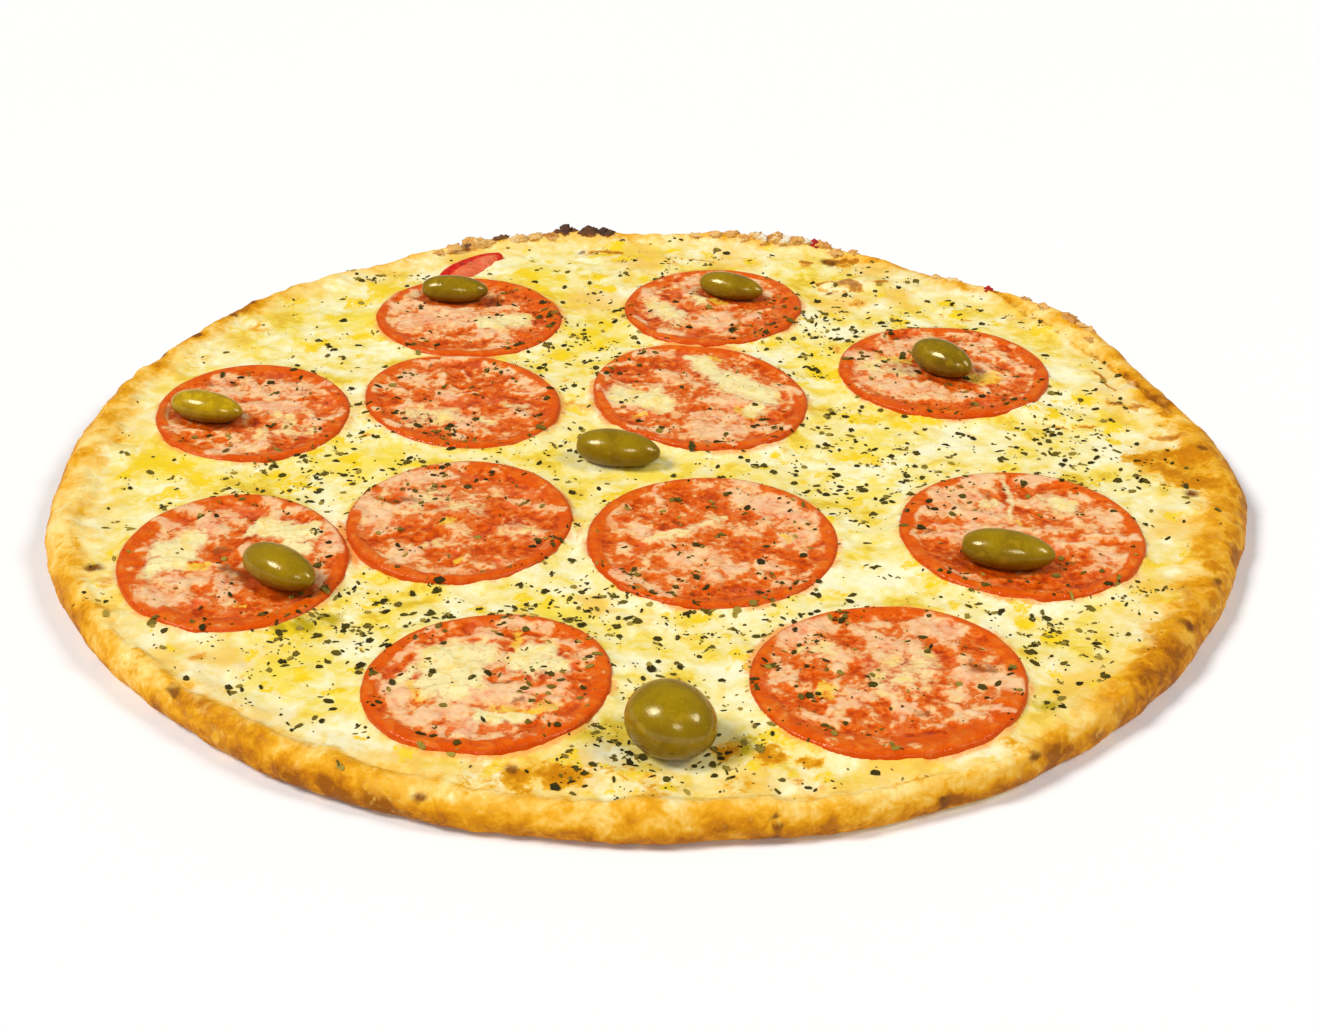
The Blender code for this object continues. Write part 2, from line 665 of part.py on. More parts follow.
def make_pizza():
    clear_scene()
    crust_finish = baked_material("crust", (0.80, 0.50, 0.17), 0.62)
    cheese_finish = baked_material("cheese", (0.95, 0.82, 0.42), 0.38)
    tomato_finish = baked_material("tomato", (0.80, 0.19, 0.07), 0.28)
    olive_finish = baked_material("olive", (0.33, 0.30, 0.05), 0.22)
    make_crust(crust_finish)
    layouts = slice_layouts()
    cheese = make_cheese(layouts, cheese_finish)
    tomatoes = []
    for number, layout in enumerate(layouts, start=1):
        tomatoes.append(make_slice(f"tomato_{number}", layout, 60 + number, tomato_finish))
    for number, spec in enumerate(OLIVES, start=1):
        target = cheese if spec[6] == 0 else tomatoes[spec[6] - 1]
        rest = highest_under(target, spec) + GAP
        make_olive(number, spec, rest, olive_finish)
    scatter_cheese_flakes(cheese, [grown(layout[0], SIDE_GAP) for layout in layouts])
    for number, (tomato, layout) in enumerate(zip(tomatoes, layouts), start=1):
        scatter_slice_flakes(tomato, layout, number)


make_pizza()
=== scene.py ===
"""Looks of a whole round cheese pizza: a baked crust, melted cheese, tomato slices, green
olives and dried oregano. Lengths in the code are millimetres; meshes and properties are in metres."""

import math
import random

import bmesh
import bpy
import numpy as np
from bpy.props import FloatProperty, FloatVectorProperty, IntProperty, PointerProperty
from mathutils import Matrix, Vector
from mathutils.bvhtree import BVHTree
from mathutils.kdtree import KDTree


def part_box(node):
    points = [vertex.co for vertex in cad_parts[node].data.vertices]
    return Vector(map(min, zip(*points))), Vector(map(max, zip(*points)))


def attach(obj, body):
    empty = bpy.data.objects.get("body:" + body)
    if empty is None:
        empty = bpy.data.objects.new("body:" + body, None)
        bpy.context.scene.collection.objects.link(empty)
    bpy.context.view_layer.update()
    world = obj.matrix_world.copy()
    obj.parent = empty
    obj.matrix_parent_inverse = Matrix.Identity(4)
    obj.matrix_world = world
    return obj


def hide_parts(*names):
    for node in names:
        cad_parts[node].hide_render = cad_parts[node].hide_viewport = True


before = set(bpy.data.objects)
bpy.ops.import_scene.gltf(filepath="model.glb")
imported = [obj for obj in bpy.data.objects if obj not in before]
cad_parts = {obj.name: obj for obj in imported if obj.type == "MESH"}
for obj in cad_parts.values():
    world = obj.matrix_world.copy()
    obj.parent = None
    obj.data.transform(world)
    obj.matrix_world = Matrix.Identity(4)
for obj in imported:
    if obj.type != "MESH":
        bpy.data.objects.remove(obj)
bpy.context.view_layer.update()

bl_info = {
    "name": "Cheese pizza",
    "version": (1, 0, 0),
    "blender": (4, 5, 0),
    "location": "View3D > Sidebar > Pizza",
    "description": "Builds a cheese pizza with tomato slices, olives and oregano, and a stage for it",
    "category": "Add Mesh",
}

MM = 0.001
FAR = 99.0                 # where a search for the nearest starts

# The crust's form, as in the solids
OUTLINE_RADIUS = 174.6
BULGES = (                 # direction in degrees, how far out, half-width in degrees
    (-135, -2.3, 13), (-65, 3.4, 14), (-42, 1.3, 9), (-6, 2.6, 9), (14, -2.2, 10), (35, 2.4, 7), (53, -2.4, 9),
    (90, -1.6, 9), (112, 1.4, 9), (135, 1.8, 9),
)
CREST_SWELLS = (           # direction in degrees, how far up, half-width in degrees
    (35, 1.5, 6), (53, -0.9, 8), (75, 1.0, 8), (99, 0.8, 6), (-63, -0.7, 16), (-100, -0.3, 15),
)
OUTLINE_RIPPLE = 0.6
OUTLINE_POINTS = 132
SLOPE_ROWS = 4             # rings on the slope under the cheese, and over the rim down to the base
RIM_ROWS = 43
BASE_ROWS = 25             # rings across the underside
FLOOR_HEIGHT = 5.0
SLOPE_RUN = 3.5
EDGE_HEIGHT = 8.7
CREST_HEIGHT = 11.2
CREST_RIPPLE = 0.85
RIM_LUMPS = 0.6
SIDE_HEIGHT = 5.2
TOE_HEIGHT = 1.5
TOE_INSET = 1.3
BASE_INSET = 4.5
RIM_WIDTHS = (             # direction in degrees, distance from the outer edge to the cheese
    (-180, 15.0), (-166, 12.0), (-152, 7.5), (-138, 7.5), (-118, 9.0), (-90, 8.0), (-76, 6.0), (-63, 4.2),
    (-50, 6.0), (-35, 12.5), (-12, 15.0), (12, 14.0), (35, 12.0), (58, 9.0), (85, 8.0), (112, 8.0), (140, 10.0),
    (165, 11.5), (180, 15.0),
)
# Crags on the crest: direction of each cluster, its spread in degrees and their number
CRAG_CLUSTERS = ((98, 3.0, 5), (73, 6.0, 6), (110, 4.0, 3), (35, 5.0, 3))
CRAG_RADIUS = (1.6, 2.9)
CRAG_KINDS = {98: (0.0, 0.2), 73: (0.4, 0.8), 110: (0.45, 0.75), 35: (0.35, 0.7)}   # darkest and palest
# Smaller crisp bits on the crest: direction in degrees, length, height, how pale, how red
CRISP_BITS = (
    (95.5, 5, 1.0, 0.3, 0), (97, 4, 1.5, 0.1, 0), (99.4, 4, 2.0, 0.15, 0), (100.3, 5, 3.0, 0.05, 0),
    (101.3, 5, 1.8, 0.2, 0), (102.4, 6, 1.2, 0.4, 0), (104, 6, 0.9, 0.6, 0), (106, 7, 1.2, 0.6, 0),
    (64, 5, 1.2, 0.5, 0), (66, 6, 1.6, 0.55, 0), (67.5, 5, 1.9, 0.45, 0), (69, 4, 2.0, 0.4, 1.0),
    (70, 5, 1.8, 0.85, 0), (71.3, 6, 2.2, 0.5, 0), (72.6, 5, 2.4, 0.88, 0), (74, 6, 2.2, 0.45, 0),
    (75.3, 5, 1.8, 0.9, 0), (76.5, 6, 1.9, 0.4, 0), (78, 5, 1.5, 0.55, 0), (79.5, 6, 1.2, 0.5, 0),
    (81.5, 5, 0.9, 0.6, 0), (84, 5, 0.8, 0.65, 0), (108.3, 6, 1.7, 0.2, 0), (110.5, 7, 1.3, 0.6, 0),
    (112.5, 6, 1.6, 0.15, 0), (114.5, 8, 1.2, 0.55, 0), (116.5, 5, 0.7, 0.5, 0), (31, 5, 0.9, 0.6, 0),
    (33, 6, 1.2, 0.5, 0), (37, 5, 1.2, 0.55, 0), (40, 4, 0.9, 0.5, 0), (45, 3.2, 1.3, 0.35, 1.0),
    (50, 5, 0.9, 0.7, 0), (52, 4, 0.8, 0.6, 0), (28, 4, 0.8, 0.5, 0),
)

# The cheese's form, as in the solids
CHEESE_HEIGHT = 9.5
CHEESE_LIP = 1.15          # thickness of the cheese where it meets the crust
RIM_COVERED = 0.55         # share of the rim's width that the cheese runs up
MENISCUS_RUN = 2.4         # how far from a slice the cheese begins to rise
CHEESE_SWELLS = ((27.0, 0.55, 1), (12.0, 0.35, 2))   # size of the swells, height, seed
MOUNDS = ((141, 42, 13, 1.2), (74, 119, 12, 1.2), (-88, -118, 12, 0.7), (-140, -12, 12, 0.6))
CHEESE_FLOOR = FLOOR_HEIGHT + 0.4
POCKET_GAP = 0.4           # under each slice
SLICE_COUNT = 13
SLICE_THICKNESS = 4.6
BELLY_DEPTH = 2.07         # from a slice's skin plane down to its widest ring
SLICE_OVERHANG = 0.35      # how far a slice's skin stands out past its solid
CURVE_STEPS = 12           # points drawn for each point of a solid's outline
TOP_INSET = 1.0            # from a slice's widest ring in to the edge of its top
# Rings down a slice's side: inset, depth, and how far each follows the unevenness of the top
SLICE_SIDE = (
    (0.55, 0.32, 0.15), (0.2, 0.8, 0.0), (0.0, 1.5, 0.0), (0.0, 2.5, 0.0), (0.15, 3.7, 0.0),
    (0.55, SLICE_THICKNESS, 0.0),
)

# Olives: x, y, length, width, height, direction in degrees
OLIVES = (
    (-68.0, 111.8, 23.1, 11.0, 9.4, -7), (27.5, 115.4, 23.2, 10.6, 9.2, -25),
    (93.7, 55.3, 22.5, 12.8, 11.2, -46), (-136.2, 21.1, 24.0, 11.2, 9.6, -20),
    (-9.5, -3.2, 25.6, 12.6, 11.0, -14), (-98.6, -73.8, 24.2, 12.8, 11.2, -37),
    (97.7, -63.3, 25.6, 12.4, 10.8, -15), (6.2, -146.2, 23.2, 20.4, 18.2, -40),
)
OLIVE_SINK = 1.6
OLIVE_FOOT = -0.35         # how far an olive's flat foot lies below its solid's
OLIVE_PALENESS = (0.2, 0.2, 0.05, 1.0, 0.2, 0.35, 0.25, 0.25)

SUNK_END = (-54.0, 152.0)  # the last slice goes under the cheese to the right of this place
SUNK_DEPTH = 3.4
# Where a slice's outer flesh is wider: x, y, how much, radius
WIDE_WALLS = {
    1: ((-36, 103, 4.0, 14),), 2: ((46, 104, 2.4, 14),), 3: ((92, 34, 2.6, 22), (118, 60, 2.4, 18)),
    4: ((-124, 52, 1.6, 20),), 7: ((-138, -60, 3.2, 22), (-112, -84, 3.0, 24)),
    8: ((-31, -21, 2.4, 16), (-40, -8, 1.5, 12)), 11: ((-72, -118, 1.2, 20), (-40, -142, 1.2, 20)),
    12: ((56, -142, 4.0, 22), (84, -132, 3.5, 20), (104, -118, 1.5, 16)),
}

# How much of a slice's melted cheese shows as such; 0.6 for the rest
CHEESINESS = {1: 0.9, 2: 0.75, 4: 0.5, 6: 0.95, 7: 1.0, 8: 0.5, 10: 0.75, 11: 0.95, 12: 0.55}

# Where the cheese is golden yellow: x, y, radius
YELLOW_DABS = (
    (-109, 99, 3.5), (-112, 76, 4.5), (-107, 79, 4), (-98, 83, 4), (-149, -5, 8), (-141, -8, 6), (-153, -12, 4),
    (-88, -3, 4), (-19, 133, 4), (-16, 124, 4), (-14, 94, 5), (-20, 88, 4), (-30, 71, 6), (-17, 75, 4),
    (-45, 135, 5), (55, 60, 6), (59, 55, 6), (54, 73, 3), (64, 28, 3), (103, 113, 4), (106, 101, 3),
    (143, 20, 4), (127, 28, 4), (138, 38, 5), (-133, -16, 4), (-93, -96, 6), (-102, -18, 4), (-111, -12, 4.5),
    (-88, -117, 3), (-93, -122, 3), (-87, -145, 3), (-77, -124, 3), (99, -91, 3), (104, -98, 3), (76, -74, 3.5),
    (159, -36, 4), (-11, -164, 3), (4, -163, 2), (-13, 160, 6), (-18, 154, 5), (-94, 10, 4), (-61, -123, 3),
    (14, -91, 3), (-44, -86, 4), (63, 0, 4), (-100, -136, 3),
)
# Where the oven toasted the cheese and the crust: x, y, radius
TOASTED_DABS = (
    (-122, 108, 4), (-131, 88, 5), (-147, 64, 4), (-164, 12, 4), (-86, 12, 3), (-25, 154, 3), (-4, 144, 3),
    (6, 147, 3.5), (-25, 35, 3.5), (-20, 32, 3), (-26, 50, 2.5), (62, 75, 3.5), (71, 113, 4), (149, -8, 6),
    (158, -10, 6.5), (160, 13, 4), (163, 30, 4), (144, 91, 5), (-102, -116, 2.5), (-108, -128, 2),
    (-114, -107, 3), (-59, -158, 3.5), (-49, -161, 3), (-40, -156, 4.5), (-31, -155, 3), (-41, -168, 3),
    (-17, -169, 2.5), (-5, -173, 2.5), (2, -169, 2), (34, -158, 3), (112, -127, 3), (124, -117, 4),
    (130, -114, 4), (136, -104, 5), (66, -164, 3), (77, -165, 3), (40, -162, 2), (43, -166, 2.5),
    (99, -142, 3.5), (124, 100, 4), (-171, -5, 4), (-161, -31, 4), (-160, -58, 4), (-146, -74, 4),
    (-148, -87, 4), (-139, -100, 4), (-130, -114, 4), (-115, -128, 4.5), (-100, -143, 5), (-86, -156, 5),
    (-74, -161, 5), (-65, -166, 4),
)
# Dark baked spots on the crust: x, y, radius
SCORCHED_SPOTS = (
    (-151, -65, 3), (-118, -124, 3.2), (-53, -166, 3), (93, -150, 3), (141, -93, 3.6), (156, -70, 2.6),
    (158, -21, 3), (166, 2, 2), (64, 147, 4), (63, 120, 2), (-160, 67, 2.4), (-168, 48, 2.4), (-152, 80, 2),
    (-142, 98, 2.4), (-137, 107, 2.4), (-126, 122, 2), (-114, 135, 2), (-107, 139, 2), (72, -167, 2.4),
    (30, -173, 2), (31, -177, 2), (-26, 156, 2), (-31, -156, 2), (-63, 161, 3),
)
# Where oil and olive brine stain the cheese: x, y, radius. The fourth and fifth are painted shadow of the front
# olive, falling to its right.
OIL_STAINS_AND_SHADOW = (
    (-90, -93, 5), (-84, -89, 4), (-96, -95, 3), (23, -147, 5), (29, -151, 4), (99, -128, 4), (-45, 14, 5),
)
# Broad peach-coloured areas of the cheese: x, y, radius
WARM_AREAS = (
    (-21, 114, 14), (-4, 152, 17), (30, 150, 12), (66, 114, 11), (80, 140, 14), (86, 115, 10), (151, 38, 15),
    (157, 0, 14), (150, -40, 12), (143, -75, 15), (113, -122, 16), (-96, -140, 14), (-125, -112, 12),
    (-60, -155, 14), (-20, -156, 16), (27, -163, 13), (59, -158, 12), (-60, 12, 7), (-13, -84, 7),
    (-109, -108, 10), (-70, 150, 10),
)
# Areas of the palest cheese: x, y, radius
PALE_AREAS = ((-141, 63, 10), (-104, 115, 10), (-157, 33, 7), (-161, 0, 6), (-122, 92, 8), (-116, 104, 7))
# Broad areas of yellower cheese: x, y, radius. The last two lie where olive shadows fall and paint those
# shadows yellow.
SUNNY_AREAS = (
    (-99, 92, 22), (-142, -8, 18), (-88, -4, 17), (-82, 11, 8), (-50, 66, 10), (-22, 82, 14), (-30, 40, 9),
    (-42, 132, 14), (0, 152, 16), (58, 62, 13), (64, 6, 14), (-87, -117, 19), (-52, -112, 14), (-20, -88, 14),
    (-125, -75, 14), (66, -20, 9), (0, -9, 9), (22, -152, 7),
)
# Orange-brown blotches: x, y, radius; first the strong ones, then the faint. The last three strong ones are
# painted shadow of the front olive, falling to its right.
BLOTCHES_AND_OLIVE_SHADOW = (
    (155, -9, 8), (148, -2, 6), (163, 0, 8), (157, 2, 6), (162, -14, 8), (168, -22, 6), (167, 4, 7),
    (166, -44, 6), (158, -62, 5), (150, -80, 5), (160, 26, 4), (165, 46, 5), (170, 28, 5), (172, 10, 5),
    (165, -66, 5), (68, 147, 4), (-18, -157, 6), (-29, -159, 5), (20, -146, 3.5), (30, -149, 3.5),
    (38, -151, 3),
)
FAINT_BLOTCHES = (
    (-20, -157, 8), (-32, -159, 8), (-8, -157, 6), (-107, -141, 6), (-119, -124, 5), (-42, -163, 7),
    (-160, -54, 4), (141, -98, 6), (2, -164, 7), (-60, -163, 6), (-130, -112, 6), (24, -162, 6), (60, -160, 6),
    (90, -148, 6), (115, -132, 6), (-152, -76, 5), (-164, 12, 6), (-150, 64, 6), (-131, 88, 6),
)
# How much more each side of the crust is baked: direction in degrees, amount, half-width in
# degrees, and where it begins across the rim, from -1 on the cheese to 1 at the outside
HEAT = (
    (-14, 0.22, 24, -0.3), (-27, 0.14, 9, -0.8), (-42, 0.18, 14, -0.5), (12, 0.06, 10, -0.9),
    (24, 0.16, 16, -0.3), (6, 0.12, 18, 0.2), (1, 0.16, 6, -1.2), (45, 0.08, 16, -0.3), (52, 0.14, 12, -0.3),
    (70, 0.10, 10, -0.3), (92, 0.10, 14, -0.3), (122, 0.08, 14, -0.2), (-57, 0.08, 8, 0.0),
    (-88, 0.05, 9, -0.3), (-107, 0.08, 7, 0.2), (-127, 0.26, 8, -0.1), (-155, 0.22, 6, -0.5),
    (150, 0.28, 15, -0.2), (177, 0.08, 7, 0.1), (-166, -0.10, 8, -0.3), (-144, -0.06, 7, -0.3),
)
# Bubbles in the cheese: x, y, length, width, height, direction in degrees
BLISTERS = (
    (73, 127, 27, 12, 1.3, 4), (-19, 152, 20, 8, 1.0, 8), (126, 28, 26, 14, 0.8, -20),
    (-139, 26, 10, 16, 0.7, 60), (104, 104, 16, 9, 0.8, -30), (-60, 128, 13, 7, 0.5, 10),
)
# Narrow browned folds and bubble edges: x, y at both ends, half-width. The second and third are painted shade
# under a bubble of the cheese.
BROWNED_FOLDS = (
    (55, 147, 73, 147, 1.4), (58, 126, 72, 124, 1.0), (72, 124, 85, 126, 0.9), (-28, 157, -12, 155, 0.9),
    (141, 56, 148, 41, 0.9), (143, 34, 156, 31, 0.8), (152, 15, 162, 13, 0.8), (12, 151, 26, 149, 0.8),
)
# A crease in the crust, between the rim and a flap of dough; its line is painted darker as the crease's shade.
CREASE = ((112, 131), (122, 118), (137, 86), (146, 71), (153, 56), (158, 42), (162, 28))
CREASE_DEPTH = 1.5
FLAP_RISE = 1.0
MOST_BAKED = 0.86          # of the dough between its dark spots
# How oregano is found on the solids: a flake's points lie this close, at least so many together,
# and all within this reach
CROWD_RADIUS = 2.4
CROWD_SIZE = 7
FLAKE_REACH = 3.4
HERB_EXTENT = 168          # half the side of the square in which loose oregano falls
BARE_EDGE = 3.0            # width of the outer edge without oregano
ON_CRUST = 0.12            # share of the oregano that stays on the crust
HERB_LEAN = 0.12
# Where oregano lies thickest: x, y, radius
HERB_PATCHES = (
    (8, -148, 34), (-82, -95, 26), (-88, -12, 24), (62, -8, 30), (-20, 72, 22), (120, 12, 26), (-15, -85, 24),
    (58, 92, 26), (0, -105, 20), (25, -90, 22), (-60, 5, 26), (110, -95, 24),
)
# How much wider each kind of patch on the slices is drawn than listed
STROKE_WIDTHS = {"pale": 1.1, "cheesy": 1.35, "red": 1.1, "yellow": 1.2, "dark": 1.2}
# What shows on the slices: patches drawn as strokes, with both ends' x and y and the half-width, or as
# dots with x, y and the half-width
# Some pale patches are painted highlights on the wet flesh, and some dark and red patches under and beside the
# olives are painted shadow.
SLICE_STROKES = {
    1: {
        "pale": ((-88, 104, -79, 107, 2), (-84, 94, -63, 97, 3), (-78, 104, -62, 103, 2),
            (-52, 103, -42, 110, 1), (-55, 84, -51, 87, 1.5), (-60, 99, -57, 85, 1), (-67, 73, 1),
            (-91, 107, -89, 112, 1)),
        "cheesy": ((-57, 92, -43, 95, 2),),
        "red": ((-40, 113, -36, 97, 4), (-43, 83, -39, 89, 2.5), (-88, 86, -84, 79, 1.5),
            (-74, 75, -55, 77, 1.5), (-68, 83, -61, 85, 1), (-56, 110, -52, 110, 1)),
        "dark": ((-56, 92, 1), (-55, 110, -53, 110, 1.5), (-79, 105, -78, 105, 0.5), (-53, 114, -49, 118, 0.5)),
    },
    2: {
        "pale": ((-1, 117, 0, 117, 2), (9, 125, 16, 129, 1.5), (12, 116, 16, 120, 1), (15, 93, 27, 98, 1.5),
            (21, 90, 31, 94, 1.5), (-5, 97, -3, 93, 1), (4, 86, 9, 84, 1), (41, 116, 1.5),
            (34, 110, 36, 110, 0.5), (33, 97, 37, 98, 1)),
        "cheesy": ((2, 106, 9, 98, 3), (16, 111, 17, 112, 1.5)),
        "yellow": ((21, 112, 26, 109, 1),),
        "red": ((45, 111, 48, 101, 3), (31, 86, 42, 93, 2), (14, 84, 26, 81, 1.5), (28, 104, 40, 106, 1),
            (1, 127, 10, 130, 1.5), (-2, 107, -1, 107, 1), (0, 88, 1, 88, 1)),
        "dark": ((10, 116, 1), (13, 99, 13, 98, 0.5), (39, 98, 40, 98, 0.5)),
    },
    3: {
        "pale": ((66, 68, 74, 65, 2), (77, 72, 85, 70, 1.5), (82, 78, 91, 82, 1), (76, 44, 81, 46, 1.5),
            (86, 44, 92, 42, 2), (97, 38, 101, 39, 1.5), (106, 42, 107, 42, 1), (103, 75, 108, 73, 1),
            (111, 78, 112, 78, 1), (107, 69, 111, 68, 1), (115, 68, 116, 67, 1.5), (117, 63, 122, 55, 1.5),
            (113, 52, 117, 51, 1), (77, 82, 1)),
        "cheesy": ((71, 60, 84, 57, 2),),
        "yellow": ((74, 65, 85, 63, 1), (102, 50, 112, 52, 1.5), (72, 59, 1)),
        "red": ((70, 36, 93, 30, 1.5), (93, 30, 117, 41, 1.5), (72, 77, 2), (118, 76, 126, 68, 2)),
        "dark": ((105, 57, 108, 55, 1), (111, 59, 116, 58, 0.5)),
    },
    4: {
        "pale": ((-138, 47, -131, 49, 1.5), (-137, 39, -130, 38, 1.5), (-129, 49, -125, 45, 1),
            (-122, 46, -114, 44, 1), (-109, 43, -102, 46, 1), (-125, 40, -110, 39, 2), (-125, 30, -108, 28, 2),
            (-102, 19, -96, 25, 1.5), (-132, 11, -127, 8, 1), (-145, 19, -136, 14, 1.5),
            (-149, 12, -144, 12, 1), (-139, 8, -137, 7, 1), (-131, -1, -123, 3, 1.5), (-119, 3, -115, 4, 1.5)),
        "cheesy": ((-115, 23, -111, 21, 1.5), (-118, 12, -104, 13, 1.5)),
        "red": ((-147, 43, -141, 49, 1.5), (-132, 54, -106, 50, 1.5), (-106, 32, -101, 30, 2),
            (-98, 37, -97, 37, 1.5), (-107, 21, 1.5), (-147, 21, 1.5), (-148, 10, -139, 3, 1.5),
            (-134, 12, -127, 4, 1), (-112, 3, -103, 6, 1.5)),
        "dark": ((-136, 15, -129, 16, 0.5), (-139, 43, 1), (-133, 44, -132, 44, 1)),
    },
    5: {
        "pale": ((-87, 43, -82, 45, 1), (-79, 51, -73, 49, 1.5), (-77, 61, -70, 60, 0.5), (-68, 63, -57, 64, 1),
            (-54, 59, -47, 56, 1), (-44, 55, 0.5), (-45, 47, -40, 48, 0.5), (-43, 41, -32, 41, 0.5),
            (-68, 39, -63, 37, 1), (-61, 55, -58, 51, 0.5), (-67, 52, -66, 47, 0.5), (-76, 33, -77, 28, 1),
            (-59, 18, -53, 15, 1), (-82, 18, -76, 17, 1), (-87, 26, -82, 25, 1), (-56, 29, -53, 27, 0.5),
            (-51, 13, -48, 13, 0.5), (-60, 12, -56, 9, 1), (-62, 37, -55, 37, 0.5)),
        "cheesy": ((-73, 25, -60, 23, 2), (-44, 31, -39, 31, 1), (-52, 22, -48, 20, 1)),
        "red": ((-54, 48, -48, 38, 3), (-64, 48, -61, 46, 1.5), (-65, 59, -58, 59, 1), (-49, 62, -38, 54, 1),
            (-88, 34, -79, 34, 1.5), (-83, 24, -78, 22, 1), (-70, 12, -63, 14, 2), (-54, 10, -48, 9, 1),
            (-39, 33, -31, 30, 2), (-46, 18, -34, 19, 2), (-75, 38, -70, 39, 1), (-71, 50, -70, 50, 1),
            (-88, 47, 1)),
        "dark": ((-45, 7, -44, 7, 1), (-72, 58, -71, 58, 0.5), (-49, 53, -48, 53, 0.5), (-76, 20, 0.5)),
    },
    6: {
        "pale": ((-5, 67, 6, 69, 1), (-14, 59, -6, 62, 0.5), (3, 54, 9, 53, 1), (12, 53, 15, 42, 1.5),
            (14, 23, 28, 24, 1.5), (15, 15, 27, 16, 2), (-7, 16, 2, 13, 1), (41, 43, 47, 40, 1.5),
            (32, 15, 43, 16, 1), (-17, 43, 1), (-16, 53, -13, 52, 1), (18, 34, 22, 35, 1), (17, 7, 26, 5, 0.5)),
        "cheesy": ((-10, 39, 5, 32, 2.5), (17, 60, 25, 47, 2.5), (25, 50, 36, 38, 3), (31, 28, 34, 30, 1.5),
            (12, 66, 16, 62, 1), (1, 42, 2, 42, 1)),
        "yellow": ((19, 66, 23, 64, 1), (27, 30, 31, 24, 1), (-1, 24, -5, 23, 0.5)),
        "red": ((2, 61, 10, 60, 1.5), (10, 72, 25, 73, 2), (26, 70, 41, 54, 1.5), (-13, 56, -6, 56, 1),
            (-1, 50, 4, 49, 0.5), (-16, 25, -9, 20, 1.5), (14, 38, 18, 42, 1), (13, 29, 17, 30, 1),
            (37, 22, 46, 26, 1.5), (39, 31, 40, 31, 1), (29, 10, 35, 11, 1), (-15, 63, -7, 67, 1)),
        "dark": ((-1, 61, 1, 62, 0.5), (17, 7, 18, 7, 1)),
    },
    7: {
        "pale": ((-134, -36, -129, -38, 1.5), (-139, -43, -132, -45, 1), (-131, -47, -128, -48, 1),
            (-126, -43, -120, -48, 2.5), (-119, -38, -114, -41, 1), (-109, -28, -104, -39, 1.5),
            (-102, -36, -92, -35, 1), (-89, -43, -86, -56, 2), (-136, -80, -129, -83, 2),
            (-131, -85, -124, -86, 1), (-129, -75, -118, -74, 1), (-115, -74, -112, -85, 1.5),
            (-112, -76, -107, -74, 1), (-122, -83, -116, -85, 0.5), (-89, -78, -88, -70, 1),
            (-140, -59, -139, -59, 1), (-112, -59, -110, -55, 1)),
        "cheesy": ((-135, -58, -125, -53, 2), (-134, -67, -127, -62, 2.5), (-112, -48, -109, -44, 1),
            (-107, -46, -94, -48, 2), (-100, -54, -93, -57, 1)),
        "yellow": ((-125, -66, -120, -67, 1), (-110, -85, -106, -85, 0.5)),
        "red": ((-142, -67, -136, -72, 2.5), (-139, -51, 1.5), (-134, -40, -129, -43, 1),
            (-126, -30, -112, -28, 1.5), (-120, -33, -109, -37, 1), (-96, -41, -93, -40, 1),
            (-117, -53, -113, -54, 1), (-120, -60, -113, -64, 1.5), (-121, -91, -96, -90, 2.5),
            (-120, -80, -118, -78, 1.5), (-109, -80, -102, -79, 1), (-97, -83, -89, -81, 1),
            (-86, -65, -85, -65, 1.5)),
        "dark": ((-116, -67, -108, -70, 1), (-120, -59, -116, -57, 1), (-98, -80, -90, -77, 1)),
    },
    8: {
        "pale": ((-65, -9, -54, -9, 1), (-78, -19, -66, -17, 2), (-83, -31, -76, -38, 3),
            (-40, -31, -25, -35, 1), (-32, -53, -29, -46, 1), (-77, -48, -71, -47, 1),
            (-69, -62, -63, -59, 1.5), (-54, -70, -51, -69, 1), (-47, -65, -46, -65, 1)),
        "cheesy": ((-65, -29, -60, -28, 2), (-58, -34, -48, -35, 1.5), (-39, -46, -33, -50, 2),
            (-61, -55, -58, -54, 1)),
        "yellow": ((-58, -42, -54, -42, 1), (-52, -64, -51, -64, 1)),
        "red": ((-51, -9, -27, -26, 2.5), (-40, -38, -27, -40, 2), (-46, -60, -30, -57, 2),
            (-63, -47, -58, -48, 2), (-60, -26, -55, -26, 1), (-83, -24, -79, -24, 0.5)),
        "dark": ((-74, -30, -66, -30, 1), (-65, -24, -62, -23, 0.5)),
    },
    9: {
        "pale": ((1, -51, 12, -45, 1), (12, -45, 21, -37, 1), (21, -25, 40, -33, 2.5), (25, -19, 30, -21, 1.5),
            (40, -38, 46, -40, 2.5), (37, -50, 47, -47, 1.5), (5, -62, 18, -60, 1), (22, -65, 27, -65, 1.5),
            (-9, -70, -2, -74, 1), (-2, -74, 6, -80, 1), (-3, -44, -1, -47, 2), (31, -64, 37, -65, 2),
            (-7, -54, -4, -58, 1), (3, -22, 3, -30, 1), (10, -34, 11, -34, 1.5), (34, -73, 38, -74, 0.5),
            (14, -23, 20, -22, 1)),
        "cheesy": ((0, -52, 11, -46, 1), (11, -46, 21, -38, 1)),
        "yellow": ((38, -49, 39, -50, 1),),
        "red": ((10, -28, 19, -30, 3.5), (7, -22, 10, -38, 2.5), (-12, -51, -13, -59, 2.5),
            (25, -54, 33, -56, 2.5), (38, -61, 49, -61, 2.5), (-4, -56, 3, -56, 1), (9, -79, 33, -80, 1.5)),
        "dark": ((7, -40, 10, -42, 0.5), (32, -67, 34, -69, 0.5)),
    },
    10: {
        "pale": ((92, -18, 101, -14, 1.5), (108, -17, 120, -16, 1), (82, -27, 94, -25, 2),
            (79, -33, 85, -36, 1.5), (90, -37, 99, -38, 1.5), (74, -47, 86, -48, 1), (82, -42, 90, -43, 1),
            (106, -29, 111, -32, 1), (122, -27, 126, -26, 1), (128, -40, 133, -39, 1.5),
